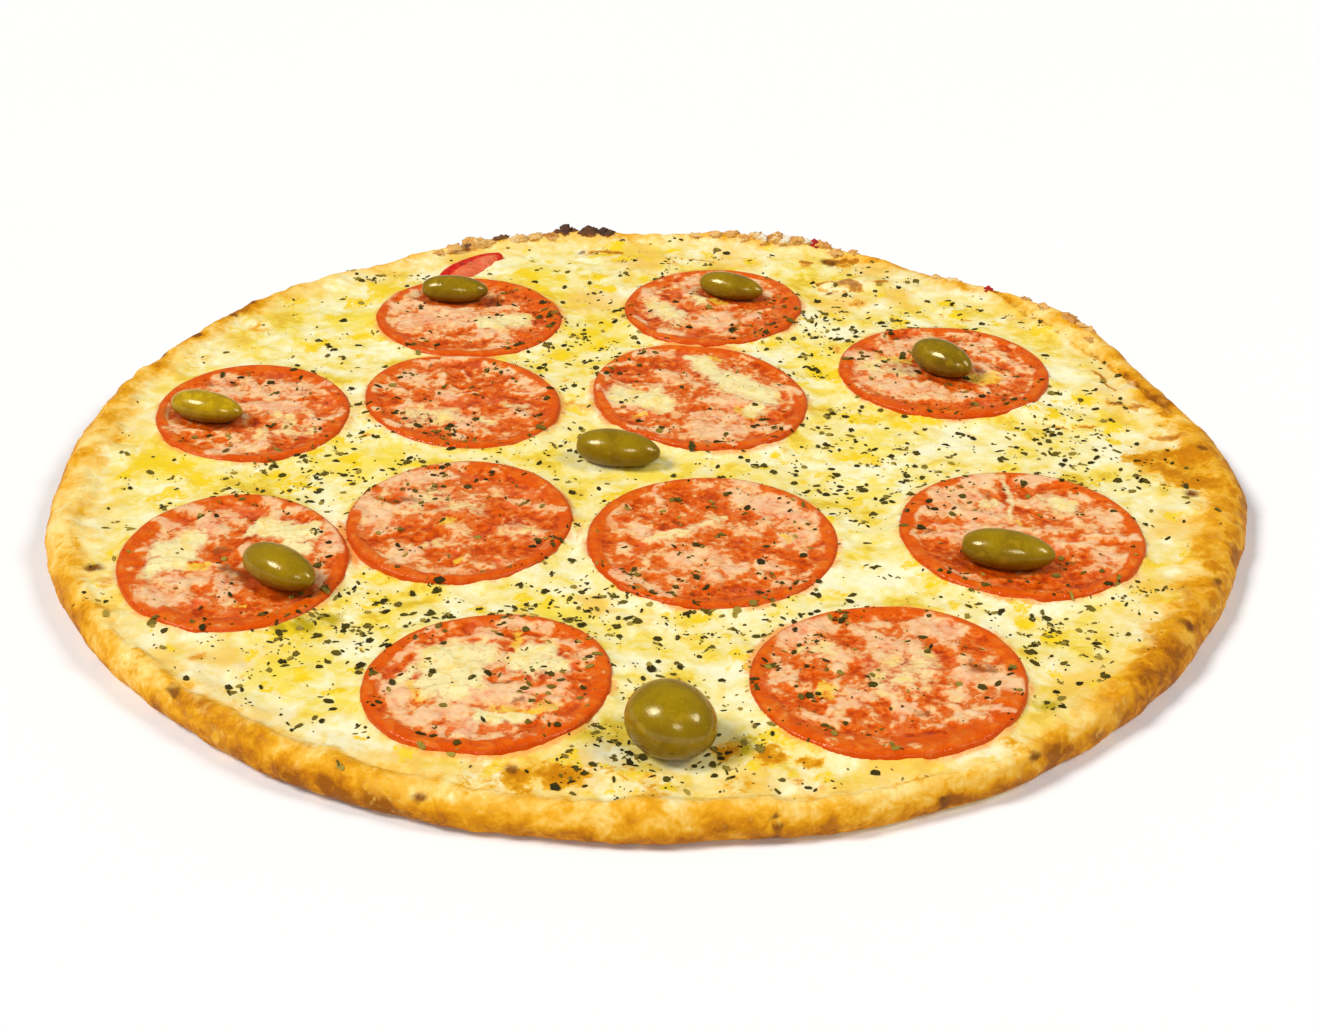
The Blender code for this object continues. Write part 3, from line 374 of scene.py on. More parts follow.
            (126, -48, 136, -50, 1), (114, -54, 124, -52, 1), (123, -60, 129, -58, 2), (116, -67, 123, -64, 1),
            (103, -46, 113, -46, 1), (82, -61, 83, -61, 0.5), (100, -72, 105, -74, 1),
            (120, -49, 125, -48, 0.5)),
        "cheesy": ((115, -30, 120, -34, 2), (103, -18, 104, -27, 1), (104, -27, 103, -37, 1),
            (95, -30, 99, -30, 1)),
        "yellow": ((109, -54, 111, -55, 0.5), (104, -41, 107, -44, 0.5)),
        "red": ((75, -33, 80, -27, 1), (108, -24, 123, -21, 1), (125, -20, 135, -33, 1.5),
            (105, -35, 111, -39, 1), (84, -40, 89, -41, 1), (74, -55, 85, -57, 2), (79, -63, 91, -67, 1),
            (112, -60, 120, -60, 2), (111, -67, 114, -70, 1), (91, -71, 105, -77, 1), (106, -75, 124, -71, 2),
            (131, -56, 136, -60, 1.5)),
        "dark": ((98, -25, 1), (114, -40, 116, -40, 0.5), (78, -45, 80, -45, 0.5), (95, -69, 102, -69, 0.5)),
    },
    11: {
        "pale": ((-67, -120, -60, -106, 0.5), (-60, -106, -54, -96, 0.5), (-51, -102, -46, -100, 1),
            (-45, -98, -39, -100, 1.5), (-37, -102, -36, -102, 1), (-37, -95, -25, -97, 1),
            (-23, -102, -19, -104, 1), (-18, -110, -14, -109, 1.5), (-65, -125, -60, -129, 1.5),
            (-64, -132, -55, -138, 1.5), (-54, -135, -46, -133, 2.5), (-54, -140, -49, -144, 1),
            (-46, -128, -39, -125, 2), (-39, -126, -29, -123, 1.5), (-45, -144, -40, -144, 1),
            (-24, -136, -20, -138, 1), (-24, -128, -17, -130, 1), (-23, -120, -21, -123, 1), (-14, -130, 1),
            (-56, -108, -58, -112, 1), (-62, -117, -61, -117, 1)),
        "cheesy": ((-53, -110, -41, -109, 2.5), (-54, -117, -43, -119, 2.5), (-54, -123, -46, -125, 2),
            (-32, -112, -22, -114, 2), (-41, -138, -28, -136, 1), (-29, -106, -25, -107, 1.5),
            (-61, -122, -59, -117, 1)),
        "yellow": ((-58, -125, -54, -126, 1.5), (-37, -133, -22, -132, 1), (-55, -115, 1),
            (-33, -100, -32, -112, 1), (-26, -102, 0.5)),
        "red": ((-57, -104, -51, -103, 1), (-51, -96, -46, -96, 1), (-67, -129, -62, -138, 1),
            (-66, -120, -60, -111, 1), (-28, -120, -24, -119, 1), (-21, -116, -10, -119, 1.5),
            (-18, -124, -13, -125, 1.5), (-20, -133, -16, -132, 1.5), (-39, -142, -21, -140, 1),
            (-36, -104, -33, -107, 1), (-56, -131, -53, -131, 0.5)),
        "dark": ((-38, -121, -33, -120, 0.5), (-33, -128, -30, -128, 0.5)),
    },
    12: {
        "pale": ((35, -98, 47, -93, 2), (32, -110, 34, -113, 1.5), (30, -119, 37, -118, 1.5),
            (47, -105, 51, -108, 1.5), (47, -114, 50, -113, 1), (53, -94, 62, -93, 1), (55, -98, 60, -100, 1),
            (57, -104, 64, -103, 1), (59, -108, 69, -105, 1.5), (68, -110, 71, -114, 2), (73, -92, 83, -100, 2),
            (70, -96, 75, -97, 1.5), (78, -116, 81, -117, 2), (87, -117, 92, -122, 2.5),
            (82, -133, 91, -134, 0.5), (75, -126, 79, -127, 1), (74, -134, 82, -137, 1.5),
            (67, -140, 72, -141, 1), (48, -131, 52, -131, 1.5), (37, -134, 44, -134, 1),
            (44, -136, 50, -139, 0.5), (54, -134, 56, -137, 1), (60, -131, 66, -132, 1.5), (68, -89, 1),
            (50, -125, 55, -128, 1), (43, -146, 45, -147, 1), (47, -120, 47, -124, 0.5)),
        "cheesy": ((40, -105, 46, -105, 1.5), (58, -119, 71, -114, 3)),
        "yellow": ((44, -123, 46, -125, 1.5), (39, -106, 1)),
        "red": ((50, -89, 62, -87, 1.5), (62, -90, 71, -89, 1), (82, -104, 88, -104, 1.5),
            (84, -99, 91, -107, 1.5), (73, -110, 77, -112, 1.5), (51, -112, 56, -113, 1.5), (54, -117, 1),
            (57, -128, 59, -132, 1), (50, -136, 54, -138, 1), (38, -129, 43, -131, 1),
            (29, -108, 29, -121, 1.5), (33, -130, 36, -139, 1.5), (40, -142, 56, -147, 2.5),
            (56, -142, 65, -149, 3), (65, -147, 83, -143, 2.5), (91, -129, 92, -129, 1),
            (72, -132, 74, -134, 1), (94, -116, 1)),
        "dark": ((83, -113, 87, -113, 1.5), (66, -134, 69, -134, 0.5), (74, -116, 75, -116, 0.5)),
    },
}

# Where the camera stands, in metres
CAMERA_PLACE = (0.00327, -0.54979, 0.3064)
# Soft lights: name, where it comes from, the setting of its strength, its spread in degrees and colour
LIGHTS = (
    ("left_light", (-0.63, -0.15, 0.76), "key", 20.0, (1.0, 0.99, 0.97)),
    ("right_light", (0.70, -0.12, 0.70), "fill", 20.0, (1.0, 0.99, 0.98)),
    ("front_light", (0.0, -0.8, 0.6), "front", 15.0, (1.0, 0.99, 0.98)),
)


def colour(red, green, blue):
    """Scene-linear colour from 0-255 display values."""
    shares = (value / 255.0 for value in (red, green, blue))
    return tuple(share / 12.92 if share <= 0.04045 else ((share + 0.055) / 1.055) ** 2.4 for share in shares)


# Smooth unevenness

def lattice_value(column, row, seed):
    """A fixed pseudo-random value from -1 to 1 for each lattice point."""
    wave = np.sin(column * 127.1 + row * 311.7 + seed * 74.7) * 43758.5453
    return 2.0 * (wave - np.floor(wave)) - 1.0


def swell(x, y, size, seed):
    """Smooth noise from -1 to 1 whose swells are about `size` wide."""
    u, v = np.asarray(x, float) / size, np.asarray(y, float) / size
    column, row = np.floor(u), np.floor(v)
    fx, fy = u - column, v - row
    fx, fy = fx * fx * (3 - 2 * fx), fy * fy * (3 - 2 * fy)
    low, high = (lattice_value(column, line, seed) * (1 - fx) + lattice_value(column + 1, line, seed) * fx
                 for line in (row, row + 1))
    return low * (1 - fy) + high * fy


def rotated(x, y, angle):
    """A place turned about the origin."""
    return x * math.cos(angle) - y * math.sin(angle), x * math.sin(angle) + y * math.cos(angle)


def cloud(x, y, size, seed, layers=3):
    """Swells of several sizes laid over each other, each turned and shifted from the last."""
    total, strength, whole = 0.0, 1.0, 0.0
    for layer in range(layers):
        u, v = rotated(x, y, 0.7 + 1.1 * layer + 0.37 * seed)
        total = total + strength * swell(u + 31.7 * layer, v - 17.3 * layer, size * 0.5 ** layer,
                                         seed + 5 * layer)
        whole += strength
        strength *= 0.55
    return total / whole * 1.5


def cells(x, y, size, seed):
    """Distance to the nearest of evenly scattered points, in units of `size`, and that point's value."""
    u, v = x / size, y / size
    column, row = np.floor(u), np.floor(v)
    near, value = np.full_like(u, 9.0), np.zeros_like(u)
    for step_u in (-1, 0, 1):
        for step_v in (-1, 0, 1):
            cu, cv = column + step_u, row + step_v
            distance = np.hypot(u - (cu + 0.5 + 0.42 * lattice_value(cu, cv, seed)),
                                v - (cv + 0.5 + 0.42 * lattice_value(cu, cv, seed + 7)))
            closer = distance < near
            near = np.where(closer, distance, near)
            value = np.where(closer, lattice_value(cu, cv, seed + 13), value)
    return near, value


def bump(distance, radius):
    """1 at no distance, falling off smoothly within about the radius."""
    return np.exp(-(distance / radius) ** 2)


def fade(value, low, high):
    """0 below `low`, 1 above `high` and smooth between."""
    share = np.clip((value - low) / (high - low), 0.0, 1.0)
    return share * share * (3 - 2 * share)


def bubbles(x, y, size, seed, rare, radius, power=1.0):
    """Domes from 0 to 1 on those scattered points whose value is above `rare`."""
    near, chance = cells(x, y, size, seed)
    return np.where(chance > rare, np.clip(1 - (near / radius) ** 2, 0, 1) ** power, 0)


def specks(x, y, size, seed, rare, radius):
    """Soft specks from 0 to 1 on those scattered points whose value is above `rare`."""
    near, chance = cells(x, y, size, seed)
    return np.where(chance > rare, bump(near, radius), 0)


def dabs(x, y, places, rough, seed):
    """How strongly a place lies in any of the round places, whose edges are uneven."""
    x, y = x + rough * cloud(x, y, 5.0, seed), y + rough * cloud(x, y, 5.0, seed + 40)
    return np.maximum.reduce([bump(np.hypot(x - place_x, y - place_y), radius)
                              for place_x, place_y, radius in places])


def strokes_at(x, y, strokes):
    """1 on strokes seen from the front, half as wide as they are deep, and fading out beside them."""
    most = np.zeros_like(x)
    for x0, y0, *end, half_width in strokes:
        x1, y1 = end or (x0, y0)
        dx, dy = x1 - x0, (y1 - y0) / 2
        along = np.clip(((x - x0) * dx + (y - y0) / 2 * dy) / max(dx * dx + dy * dy, 1e-6), 0.0, 1.0)
        away = np.hypot(x - x0 - along * dx, (y - y0) / 2 - along * dy) / half_width
        most = np.maximum(most, 1 - fade(away, 0.2, 1.75))
    return most


def in_oval(dx, dy, length, width, direction):
    """Distance from an oval's middle, 1 at its edge, and the part of it that lies across."""
    along, across = rotated(dx, dy, -math.radians(direction))
    across = across / (width / 2)
    return np.hypot(along / (length / 2), across), across


def curve_point(before, start, end, after, t):
    """A point at `t`, from 0 to 1, on the smooth curve between two of four points."""
    return 0.5 * (2 * start + (end - before) * t + (2 * before - 5 * start + 4 * end - after) * t ** 2
                  + (3 * start - before - 3 * end + after) * t ** 3)


# The crust's rings

def round_angles(count):
    return np.arange(count) * 2 * math.pi / count


def turn_between(angles, direction):
    return (np.degrees(angles) - direction + 180.0) % 360.0 - 180.0


def with_rises(values, angles, rises):
    """The values round the crust with a rise or a dip around some directions."""
    for direction, rise, half_width in rises:
        values = values + rise * bump(turn_between(angles, direction), half_width)
    return values


def raw_radius(angles):
    """Distance from the rings' centre to the crust's outer edge."""
    radius = with_rises(np.full_like(angles, OUTLINE_RADIUS), angles, BULGES)
    return radius + OUTLINE_RIPPLE * swell(60 * np.cos(angles), 60 * np.sin(angles), 5.0, 14)


def rim_width(angles):
    """Distance from the crust's outer edge to the cheese."""
    width = np.interp(turn_between(angles, 0.0), *zip(*RIM_WIDTHS))
    return width * (1.0 + 0.09 * swell(40 * np.cos(angles), 40 * np.sin(angles), 9.0, 11))


def at_angle(measure, angle):
    """What a measure round the crust gives for a single angle."""
    return float(measure(np.array([angle]))[0])


def outline_centre():
    """Where the rings' centre lies when the outline's box is centred on the origin."""
    angles = round_angles(OUTLINE_POINTS)
    radius = raw_radius(angles)
    x, y = radius * np.cos(angles), radius * np.sin(angles)
    return -(x.max() + x.min()) / 2, -(y.max() + y.min()) / 2


CENTRE_X, CENTRE_Y = outline_centre()


def from_centre(radius, angle):
    """x and y of a place by its distance and direction from the rings' centre."""
    return CENTRE_X + radius * np.cos(angle), CENTRE_Y + radius * np.sin(angle)


def rim_sections(angles):
    """Inset and height of the crust's eight rings at each angle."""
    width = rim_width(angles)
    around_x, around_y = 60 * np.cos(angles), 60 * np.sin(angles)
    crest = CREST_HEIGHT + 0.055 * (width - 11.0) + CREST_RIPPLE * swell(around_x, around_y, 8.0, 5)
    crest = with_rises(crest, angles, CREST_SWELLS)
    lump = RIM_LUMPS * swell(around_x, around_y, 4.0, 6)
    level = np.ones_like(angles)
    return np.array([
        (width + SLOPE_RUN, FLOOR_HEIGHT * level),
        (width, EDGE_HEIGHT * level),
        (0.78 * width, EDGE_HEIGHT + 0.72 * (crest - EDGE_HEIGHT) + lump),
        (0.50 * width, crest),
        (0.20 * width, crest - 0.30 * (crest - SIDE_HEIGHT) - 0.6 * lump),
        (0.0 * level, SIDE_HEIGHT + lump),
        (TOE_INSET * level, TOE_HEIGHT * level),
        (BASE_INSET * level, 0.0 * level),
    ])


def smooth_stations(controls, samples):
    """Smooth curves through the control rings; `samples` are places from 0 to their number less 1."""
    last = len(controls) - 1
    rows = []
    for place in samples:
        step = min(int(place), last - 1)
        near = (controls[min(max(index, 0), last)] for index in range(step - 1, step + 3))
        rows.append(curve_point(*near, place - step))
    return np.array(rows)


# Meshes

def make_piece(name, points, faces, marks):
    """A smooth mesh object from points in millimetres, with a value per point for each mark."""
    mesh = bpy.data.meshes.new(name)
    mesh.from_pydata(np.asarray(points) * MM, [], faces)
    mesh.update()
    mesh.shade_smooth()
    for mark, values in marks.items():
        attribute = mesh.attributes.new(mark, "FLOAT", "POINT")
        attribute.data.foreach_set("value", np.clip(values, 0.0, 1.0).astype(np.float32))
    piece = bpy.data.objects.new(name, mesh)
    bpy.context.scene.collection.objects.link(piece)
    return piece


def make_heap(name, bits):
    """One mesh of many small bits, each given as its points, faces and marks."""
    points, faces, marks, start = [], [], {}, 0
    for bit_points, bit_faces, bit_marks in bits:
        points.append(bit_points)
        faces += [tuple(start + corner for corner in face) for face in bit_faces]
        for mark, value in bit_marks.items():
            marks.setdefault(mark, []).append(value + np.zeros(len(bit_points)))
        start += len(bit_points)
    return make_piece(name, np.vstack(points), faces,
                      {mark: np.concatenate(values) for mark, values in marks.items()})


def settle(piece, finish, node=None):
    """Give a finished piece its material and its body, and hide the CAD node that it stands for."""
    piece.data.materials.clear()
    piece.data.materials.append(finish)
    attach(piece, "root")
    if node:
        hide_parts(node)


def bands(start, rings, count):
    """Quads that join closed rings of `count` points, one ring after the other."""
    ring = start + count * np.arange(rings - 1)[:, None]
    index = np.arange(count)
    after = (index + 1) % count
    quads = np.stack([ring + index, ring + after, ring + count + after, ring + count + index], axis=2)
    return quads.reshape(-1, 4)


def fan(start, count, tip, flipped=False):
    """Triangles from a closed ring of points to the point `tip`."""
    index = np.arange(count)
    pair = [start + index, start + (index + 1) % count]
    return np.column_stack([*(pair[::-1] if flipped else pair), np.full(count, tip)]).tolist()


def skirt(rim, start):
    """Quads from a grid's rim to a ring of new points."""
    step = np.arange(len(rim))
    return np.column_stack([np.roll(rim, -1), rim, start + step, start + (step + 1) % len(rim)]).tolist()


def lengthened(marks, added, value, special):
    """The marks with a value for each of the points added; `special` has the marks that differ."""
    return {name: np.append(values, np.full(added, special.get(name, value)))
            for name, values in marks.items()}


def disk_grid(steps):
    """A square grid bent to a disk: share of the radius, angle, quads and the rim's points in order."""
    line = np.linspace(-1.0, 1.0, steps + 1)
    a, b = (part.ravel() for part in np.meshgrid(line, line))
    wide = np.abs(a) >= np.abs(b)
    safe_a, safe_b = np.where(a == 0, 1, a), np.where(b == 0, 1, b)
    share = np.where(wide, a, b)
    angle = np.where(wide, math.pi / 4 * b / safe_a, math.pi / 2 - math.pi / 4 * a / safe_b)
    angle = np.where(share < 0, angle + math.pi, angle)
    side = steps + 1
    forward = np.arange(steps)
    corner = (forward[:, None] * side + forward[None, :]).ravel()
    quads = np.column_stack([corner, corner + 1, corner + side + 1, corner + side])
    rim = np.concatenate([forward, steps + forward * side, side * side - 1 - forward,
                          (steps - forward) * side])
    return np.abs(share), angle, quads, rim


def node_points(node):
    """The different vertices of a CAD node, in millimetres."""
    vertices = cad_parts[node].data.vertices
    places = np.empty(len(vertices) * 3)
    vertices.foreach_get("co", places)
    return np.unique(np.round(places.reshape(-1, 3) / MM, 3), axis=0)


def herb_places(node):
    """Middle and length of each flake that the CAD node has, found by its crowded points."""
    points = node_points(node)
    tree = KDTree(len(points))
    for index, point in enumerate(points):
        tree.insert(point, index)
    tree.balance()
    places, used = [], set()
    for index, point in enumerate(points):
        if index in used or len(tree.find_range(point, CROWD_RADIUS)) < CROWD_SIZE:
            continue
        group = [found for _, found, _ in tree.find_range(point, FLAKE_REACH)]
        used.update(group)
        middle = points[group].mean(axis=0)
        spread = np.ptp(points[group][:, :2], axis=0)
        places.append((middle[0], middle[1], float(np.hypot(*spread)) * 0.85))
    return places


def fitted_plane(x, y, z):
    """Slopes and height of the plane nearest to the points."""
    return np.linalg.lstsq(np.column_stack([x, y, np.ones_like(x)]), z, rcond=None)[0]


class SliceForm:
    """Outline and skin plane of a tomato slice, read from its CAD node."""

    def __init__(self, number):
        self.covered = number == SLICE_COUNT
        points = node_points(f"tomato_{number}")
        x, y, z = points.T
        slopes = fitted_plane(x, y, z)
        rest = z - slopes[0] * x - slopes[1] * y
        self.plane = fitted_plane(*points[rest < rest.min() + 0.4].T)
        belly = points[np.abs(self.skin_height(x, y) - z - BELLY_DEPTH) < 0.12][:, :2]
        self.x, self.y = belly.mean(axis=0)
        belly = belly[np.argsort(self.polar(*belly.T)[1])]
        smooth = np.array([
            curve_point(*(belly[(index + step) % len(belly)] for step in (-1, 0, 1, 2)), t)
            for index in range(len(belly)) for t in np.linspace(0, 1, CURVE_STEPS, endpoint=False)])
        reaches, turns = self.polar(*smooth.T)
        order = np.argsort(turns)
        self.turns, self.reaches = turns[order], reaches[order] + SLICE_OVERHANG

    def polar(self, x, y):
        """Distance and direction from the slice's middle."""
        return np.hypot(x - self.x, y - self.y), np.arctan2(y - self.y, x - self.x)

    def reach(self, angles):
        return np.interp(angles, self.turns, self.reaches, period=2 * math.pi)

    def outside(self, x, y):
        """Distance beyond the outline, below 0 inside."""
        away, angles = self.polar(x, y)
        return away - self.reach(angles)

    def skin_height(self, x, y):
        return self.plane[0] * x + self.plane[1] * y + self.plane[2] + SLICE_THICKNESS

    def sunk(self, x, y, early=0.0):
        """1 where the slice lies under the cheese; only the last one does, at its right end."""
        if not self.covered:
            return 0.0 * x
        return fade(0.885 * (x - SUNK_END[0]) - 0.466 * (y - SUNK_END[1]) + early, -1.5, 3.5)


SLICES = [SliceForm(number) for number in range(1, SLICE_COUNT + 1)]


# Materials

class Finish:
    """A material in the making. A socket takes another socket, a number, a colour or a mark's name;
    a colour is a setting or a tuple of 0-255 display values."""

    def __init__(self, name):
        self.material = bpy.data.materials.new(name)
        self.material.use_nodes = True
        self.nodes = self.material.node_tree.nodes
        self.shader = self.nodes["Principled BSDF"]
        self.where = self.nodes.new("ShaderNodeTexCoord").outputs["Object"]

    def rgba(self, tint):
        return (*(colour(*tint) if isinstance(tint, tuple) else tint), 1.0)

    def plug(self, socket, value):
        if isinstance(value, str):
            value = self.mark(value)
        if isinstance(value, bpy.types.NodeSocket):
            self.material.node_tree.links.new(value, socket)
        else:
            socket.default_value = value if isinstance(value, float) else self.rgba(value)

    def mark(self, name):
        node = self.nodes.new("ShaderNodeAttribute")
        node.attribute_name = name
        return node.outputs["Fac"]

    def grain(self, size, detail=3.0, roughness=0.55, distortion=0.0, offset=0.0):
        """Noise from 0 to 1 whose blotches are about `size` millimetres."""
        where = self.where
        if offset:
            shift = self.nodes.new("ShaderNodeVectorMath")
            self.plug(shift.inputs[0], where)
            shift.inputs[1].default_value = (offset, -offset, 0.5 * offset)
            where = shift.outputs[0]
        noise = self.nodes.new("ShaderNodeTexNoise")
        self.plug(noise.inputs["Vector"], where)
        for name, value in (("Scale", 1.0 / (size * MM)), ("Detail", detail), ("Roughness", roughness),
                            ("Distortion", distortion)):
            noise.inputs[name].default_value = value
        return noise.outputs["Fac"]

    def sum_of(self, first, second, operation="ADD"):
        node = self.nodes.new("ShaderNodeMath")
        node.operation = operation
        self.plug(node.inputs[0], first)
        self.plug(node.inputs[1], second)
        return node.outputs[0]

    def times(self, first, second):
        return self.sum_of(first, second, "MULTIPLY")

    def total(self, *values):
        result = values[0]
        for value in values[1:]:
            result = self.sum_of(result, value)
        return result

    def swung(self, noise, amount):
        """Noise as a push of about `amount` either way."""
        return self.times(self.sum_of(noise, 0.5, "SUBTRACT"), amount)

    def between(self, value, low, high, start=0.0, end=1.0):
        """Maps low..high to start..end, smooth at both ends."""
        node = self.nodes.new("ShaderNodeMapRange")
        node.interpolation_type = "SMOOTHSTEP"
        self.plug(node.inputs["Value"], value)
        for name, number in (("From Min", low), ("From Max", high), ("To Min", start), ("To Max", end)):
            node.inputs[name].default_value = number
        return node.outputs["Result"]

    def ragged(self, mark, noise, amount, low, high):
        """A mark whose edge is broken up by noise."""
        return self.between(self.sum_of(mark, self.swung(noise, amount)), low, high)

    def mixed(self, share, first, second):
        node = self.nodes.new("ShaderNodeMix")
        node.data_type = "RGBA"
        for index, value in ((0, share), (6, first), (7, second)):
            self.plug(node.inputs[index], value)
        return node.outputs[2]

    def coats(self, tint, *coats):
        """The colour under several coats; each is its share and its colour."""
        for share, coat in coats:
            tint = self.mixed(share, tint, coat)
        return tint

    def ramp(self, value, *stops):
        """A colour ramp; `stops` are (place, colour)."""
        node = self.nodes.new("ShaderNodeValToRGB")
        self.plug(node.inputs["Fac"], value)
        elements = node.color_ramp.elements
        while len(elements) < len(stops):
            elements.new(0.5)
        for element, (position, tint) in zip(elements, stops):
            element.position = position
            element.color = self.rgba(tint)
        return node.outputs["Color"]

    def done(self, tint, roughness, specular, specular_tint=(1.0, 1.0, 1.0), height=None, depth=0.0):
        """Sets the shader, with fine surface relief `depth` millimetres deep, and gives the material."""
        inputs = self.shader.inputs
        self.plug(inputs["Base Color"], tint)
        self.plug(inputs["Roughness"], roughness)
        inputs["Specular IOR Level"].default_value = specular
        inputs["Specular Tint"].default_value = (*specular_tint, 1.0)
        if height:
            node = self.nodes.new("ShaderNodeBump")
            self.plug(node.inputs["Height"], height)
            node.inputs["Distance"].default_value = depth * MM
            node.inputs["Strength"].default_value = 1.0
            self.plug(inputs["Normal"], node.outputs["Normal"])
        return self.material


def dough_tint(paint, look, broad, middling, fine):
    """Baked dough: cream, then gold, then brown."""
    baked = paint.total("baked", paint.swung(broad, 0.8), paint.swung(middling, 0.7), paint.swung(fine, 0.4))
    return paint.ramp(baked, (0.0, (252, 236, 166)), (0.24, (251, 219, 130)), (0.42, look.golden),
                      (0.58, (238, 172, 36)), (0.72, look.toasted), (0.88, (194, 118, 8)), (1.0, (156, 88, 8)))


def cheese_tint(paint, look, broad, middling, fine):
    """Melted cheese: cream to yellow, with golden dabs, toasted patches, stains of oil and juice, and painted
    shadow beside the olives.
    """
    large = paint.grain(21.0, 2.0, 0.5, 0.8, offset=1.3)
    tone = paint.total(paint.swung(large, 1.1), paint.swung(broad, 0.9), paint.swung(middling, 0.7),
                       paint.swung(fine, 0.25), 0.5)
    tint = paint.ramp(tone, (0.28, (254, 248, 204)), (0.42, look.cream), (0.56, look.pale),
                      (0.68, (246, 218, 82)), (0.82, (230, 190, 48)))
    toasted = paint.ragged("toasted", middling, 1.4, 0.3, 1.0)
    browned = paint.ramp(paint.times(toasted, middling), (0.1, (249, 206, 96)), (0.4, look.toasted),
                         (0.62, (226, 150, 40)))
    return paint.coats(
        tint,
        # yellower cheese; two of its areas are painted into olive shadows
        (paint.times(paint.ragged("sunny", middling, 1.6, 0.15, 0.95), 0.85), (249, 224, 78)),
        (paint.times(paint.ragged("warm", broad, 1.2, 0.1, 1.0), 0.8), (245, 197, 88)),
        (paint.ragged("golden", fine, 1.5, 0.3, 0.8), look.golden),
        # oil stains, and painted olive-brown shadow beside the front olive
        (paint.ragged("oily", fine, 0.8, 0.3, 0.95), (190, 164, 22)),
        (toasted, browned),
        (paint.ragged("stained", fine, 0.8, 0.25, 1.0), (246, 168, 84)))


def baked_finish(name, crust, cheese):
    """Dough that runs into the cheese with no edge between them; the same on both pieces."""
    paint = Finish(name)
    broad = paint.grain(13.0, 4.0, 0.6, 0.5)
    middling = paint.grain(4.6, 4.0, 0.62, 0.6, offset=0.3)
    fine = paint.grain(1.3, 4.0, 0.62, offset=0.7)
    doughy = paint.ragged("dough", middling, 1.3, 0.05, 0.95)
    blotch = paint.ragged(paint.sum_of("blotch", paint.swung(fine, 0.8)), middling, 1.4, 0.1, 1.1)
    fold = paint.ragged(paint.sum_of("fold", paint.swung(fine, 0.9)), middling, 1.3, 0.2, 1.2)
    tint = paint.coats(
        cheese_tint(paint, cheese, broad, middling, fine),
        (doughy, dough_tint(paint, crust, broad, middling, fine)),
        # orange-brown blotches, and painted shadow beside the front olive
        (paint.between(blotch, 0.0, 0.5),
         paint.ramp(blotch, (0.1, (250, 206, 100)), (0.45, (237, 172, 34)), (0.95, (206, 128, 8)))),
        # browned folds, and painted shade under the cheese's bubbles
        (paint.between(fold, 0.0, 0.4, 0.0, 0.9),
         paint.ramp(fold, (0.1, (246, 202, 96)), (0.5, (224, 152, 34)), (0.95, (170, 96, 12)))),
        (paint.ragged("scorched", middling, 0.9, 0.3, 0.95),
         paint.mixed(paint.between(fine, 0.35, 0.65), crust.scorched, (150, 88, 22))),
        (paint.ragged("floured", fine, 1.2, 0.45, 0.8), (236, 214, 176)))
    rough = paint.sum_of(paint.between(middling, 0.25, 0.75, 0.56, 0.4), paint.times(doughy, 0.14))
    height = paint.total(middling, paint.times(fine, 0.25))
    return paint.done(tint, rough, 0.16, (1.0, 0.88, 0.5), height, 0.3)


def tomato_finish(look):
    """Baked tomato: orange wall, mottled red to peach flesh, melted cheese and dark hollows, with painted shade
    round the olives and painted highlights in some pale patches.
    """
    paint = Finish("baked tomato")
    broad = paint.grain(8.0, 3.0, 0.5, 0.4)
    middling = paint.grain(3.9, 2.0, 0.5, 0.5, offset=0.3)
    fine = paint.grain(1.6, 2.0, 0.5, 0.3, offset=0.6)
    tone = paint.total("tone", paint.swung(middling, 1.2), paint.swung(fine, 0.95))
    flesh = paint.ramp(tone, (0.0, look.well), (0.17, (212, 78, 6)), (0.33, look.flesh), (0.45, (236, 128, 54)),
                       (0.50, (214, 94, 20)), (0.56, (242, 156, 92)), (0.72, look.pulp), (1.0, (254, 220, 160)))
    juicy = paint.between(paint.sum_of("tone", paint.swung(fine, 0.6)), 0.62, 0.95, 0.0, 0.55)
    wall = paint.coats(look.wall, (paint.between(middling, 0.4, 0.7), (236, 114, 20)),
                       (paint.between(fine, 0.45, 0.7, 0.0, 0.5), (214, 70, 2)))
    melted = paint.coats((254, 242, 176), (paint.between(middling, 0.5, 0.68, 0.0, 0.7), (248, 214, 108)),
                         (paint.between(fine, 0.58, 0.72, 0.0, 0.6), (236, 168, 84)))
    cheesy = paint.ragged(paint.sum_of("cheesy", paint.swung(fine, 0.8)), middling, 1.1, 0.1, 0.9)
    tint = paint.coats(
        flesh, (paint.between(broad, 0.52, 0.7, 0.0, 0.4), (242, 112, 66)), (juicy, (248, 188, 152)),
        (paint.ragged("wall", middling, 1.2, 0.2, 0.8), wall),
        # dark hollows, and painted shade round the olives
        (paint.times(paint.ragged("dark", fine, 1.6, 0.35, 1.1), 0.85), (150, 66, 14)),
        (paint.times(paint.ragged("yellow", fine, 1.8, 0.35, 1.0), 0.85), (250, 204, 62)),
        (paint.times(cheesy, 0.95), melted), ("pink", (238, 108, 72)),
        ("crimson", paint.mixed(paint.between(fine, 0.35, 0.65), (208, 26, 18), (226, 50, 34))),
        ("skin", look.skin))
    smooth = paint.sum_of(1.0, paint.times(cheesy, 0.7), "SUBTRACT")
    height = paint.times(paint.total(middling, paint.times(fine, 0.6)), smooth)
    return paint.done(tint, paint.between(middling, 0.3, 0.7, 0.18, 0.4), 0.3, (1.0, 0.76, 0.5), height, 0.5)


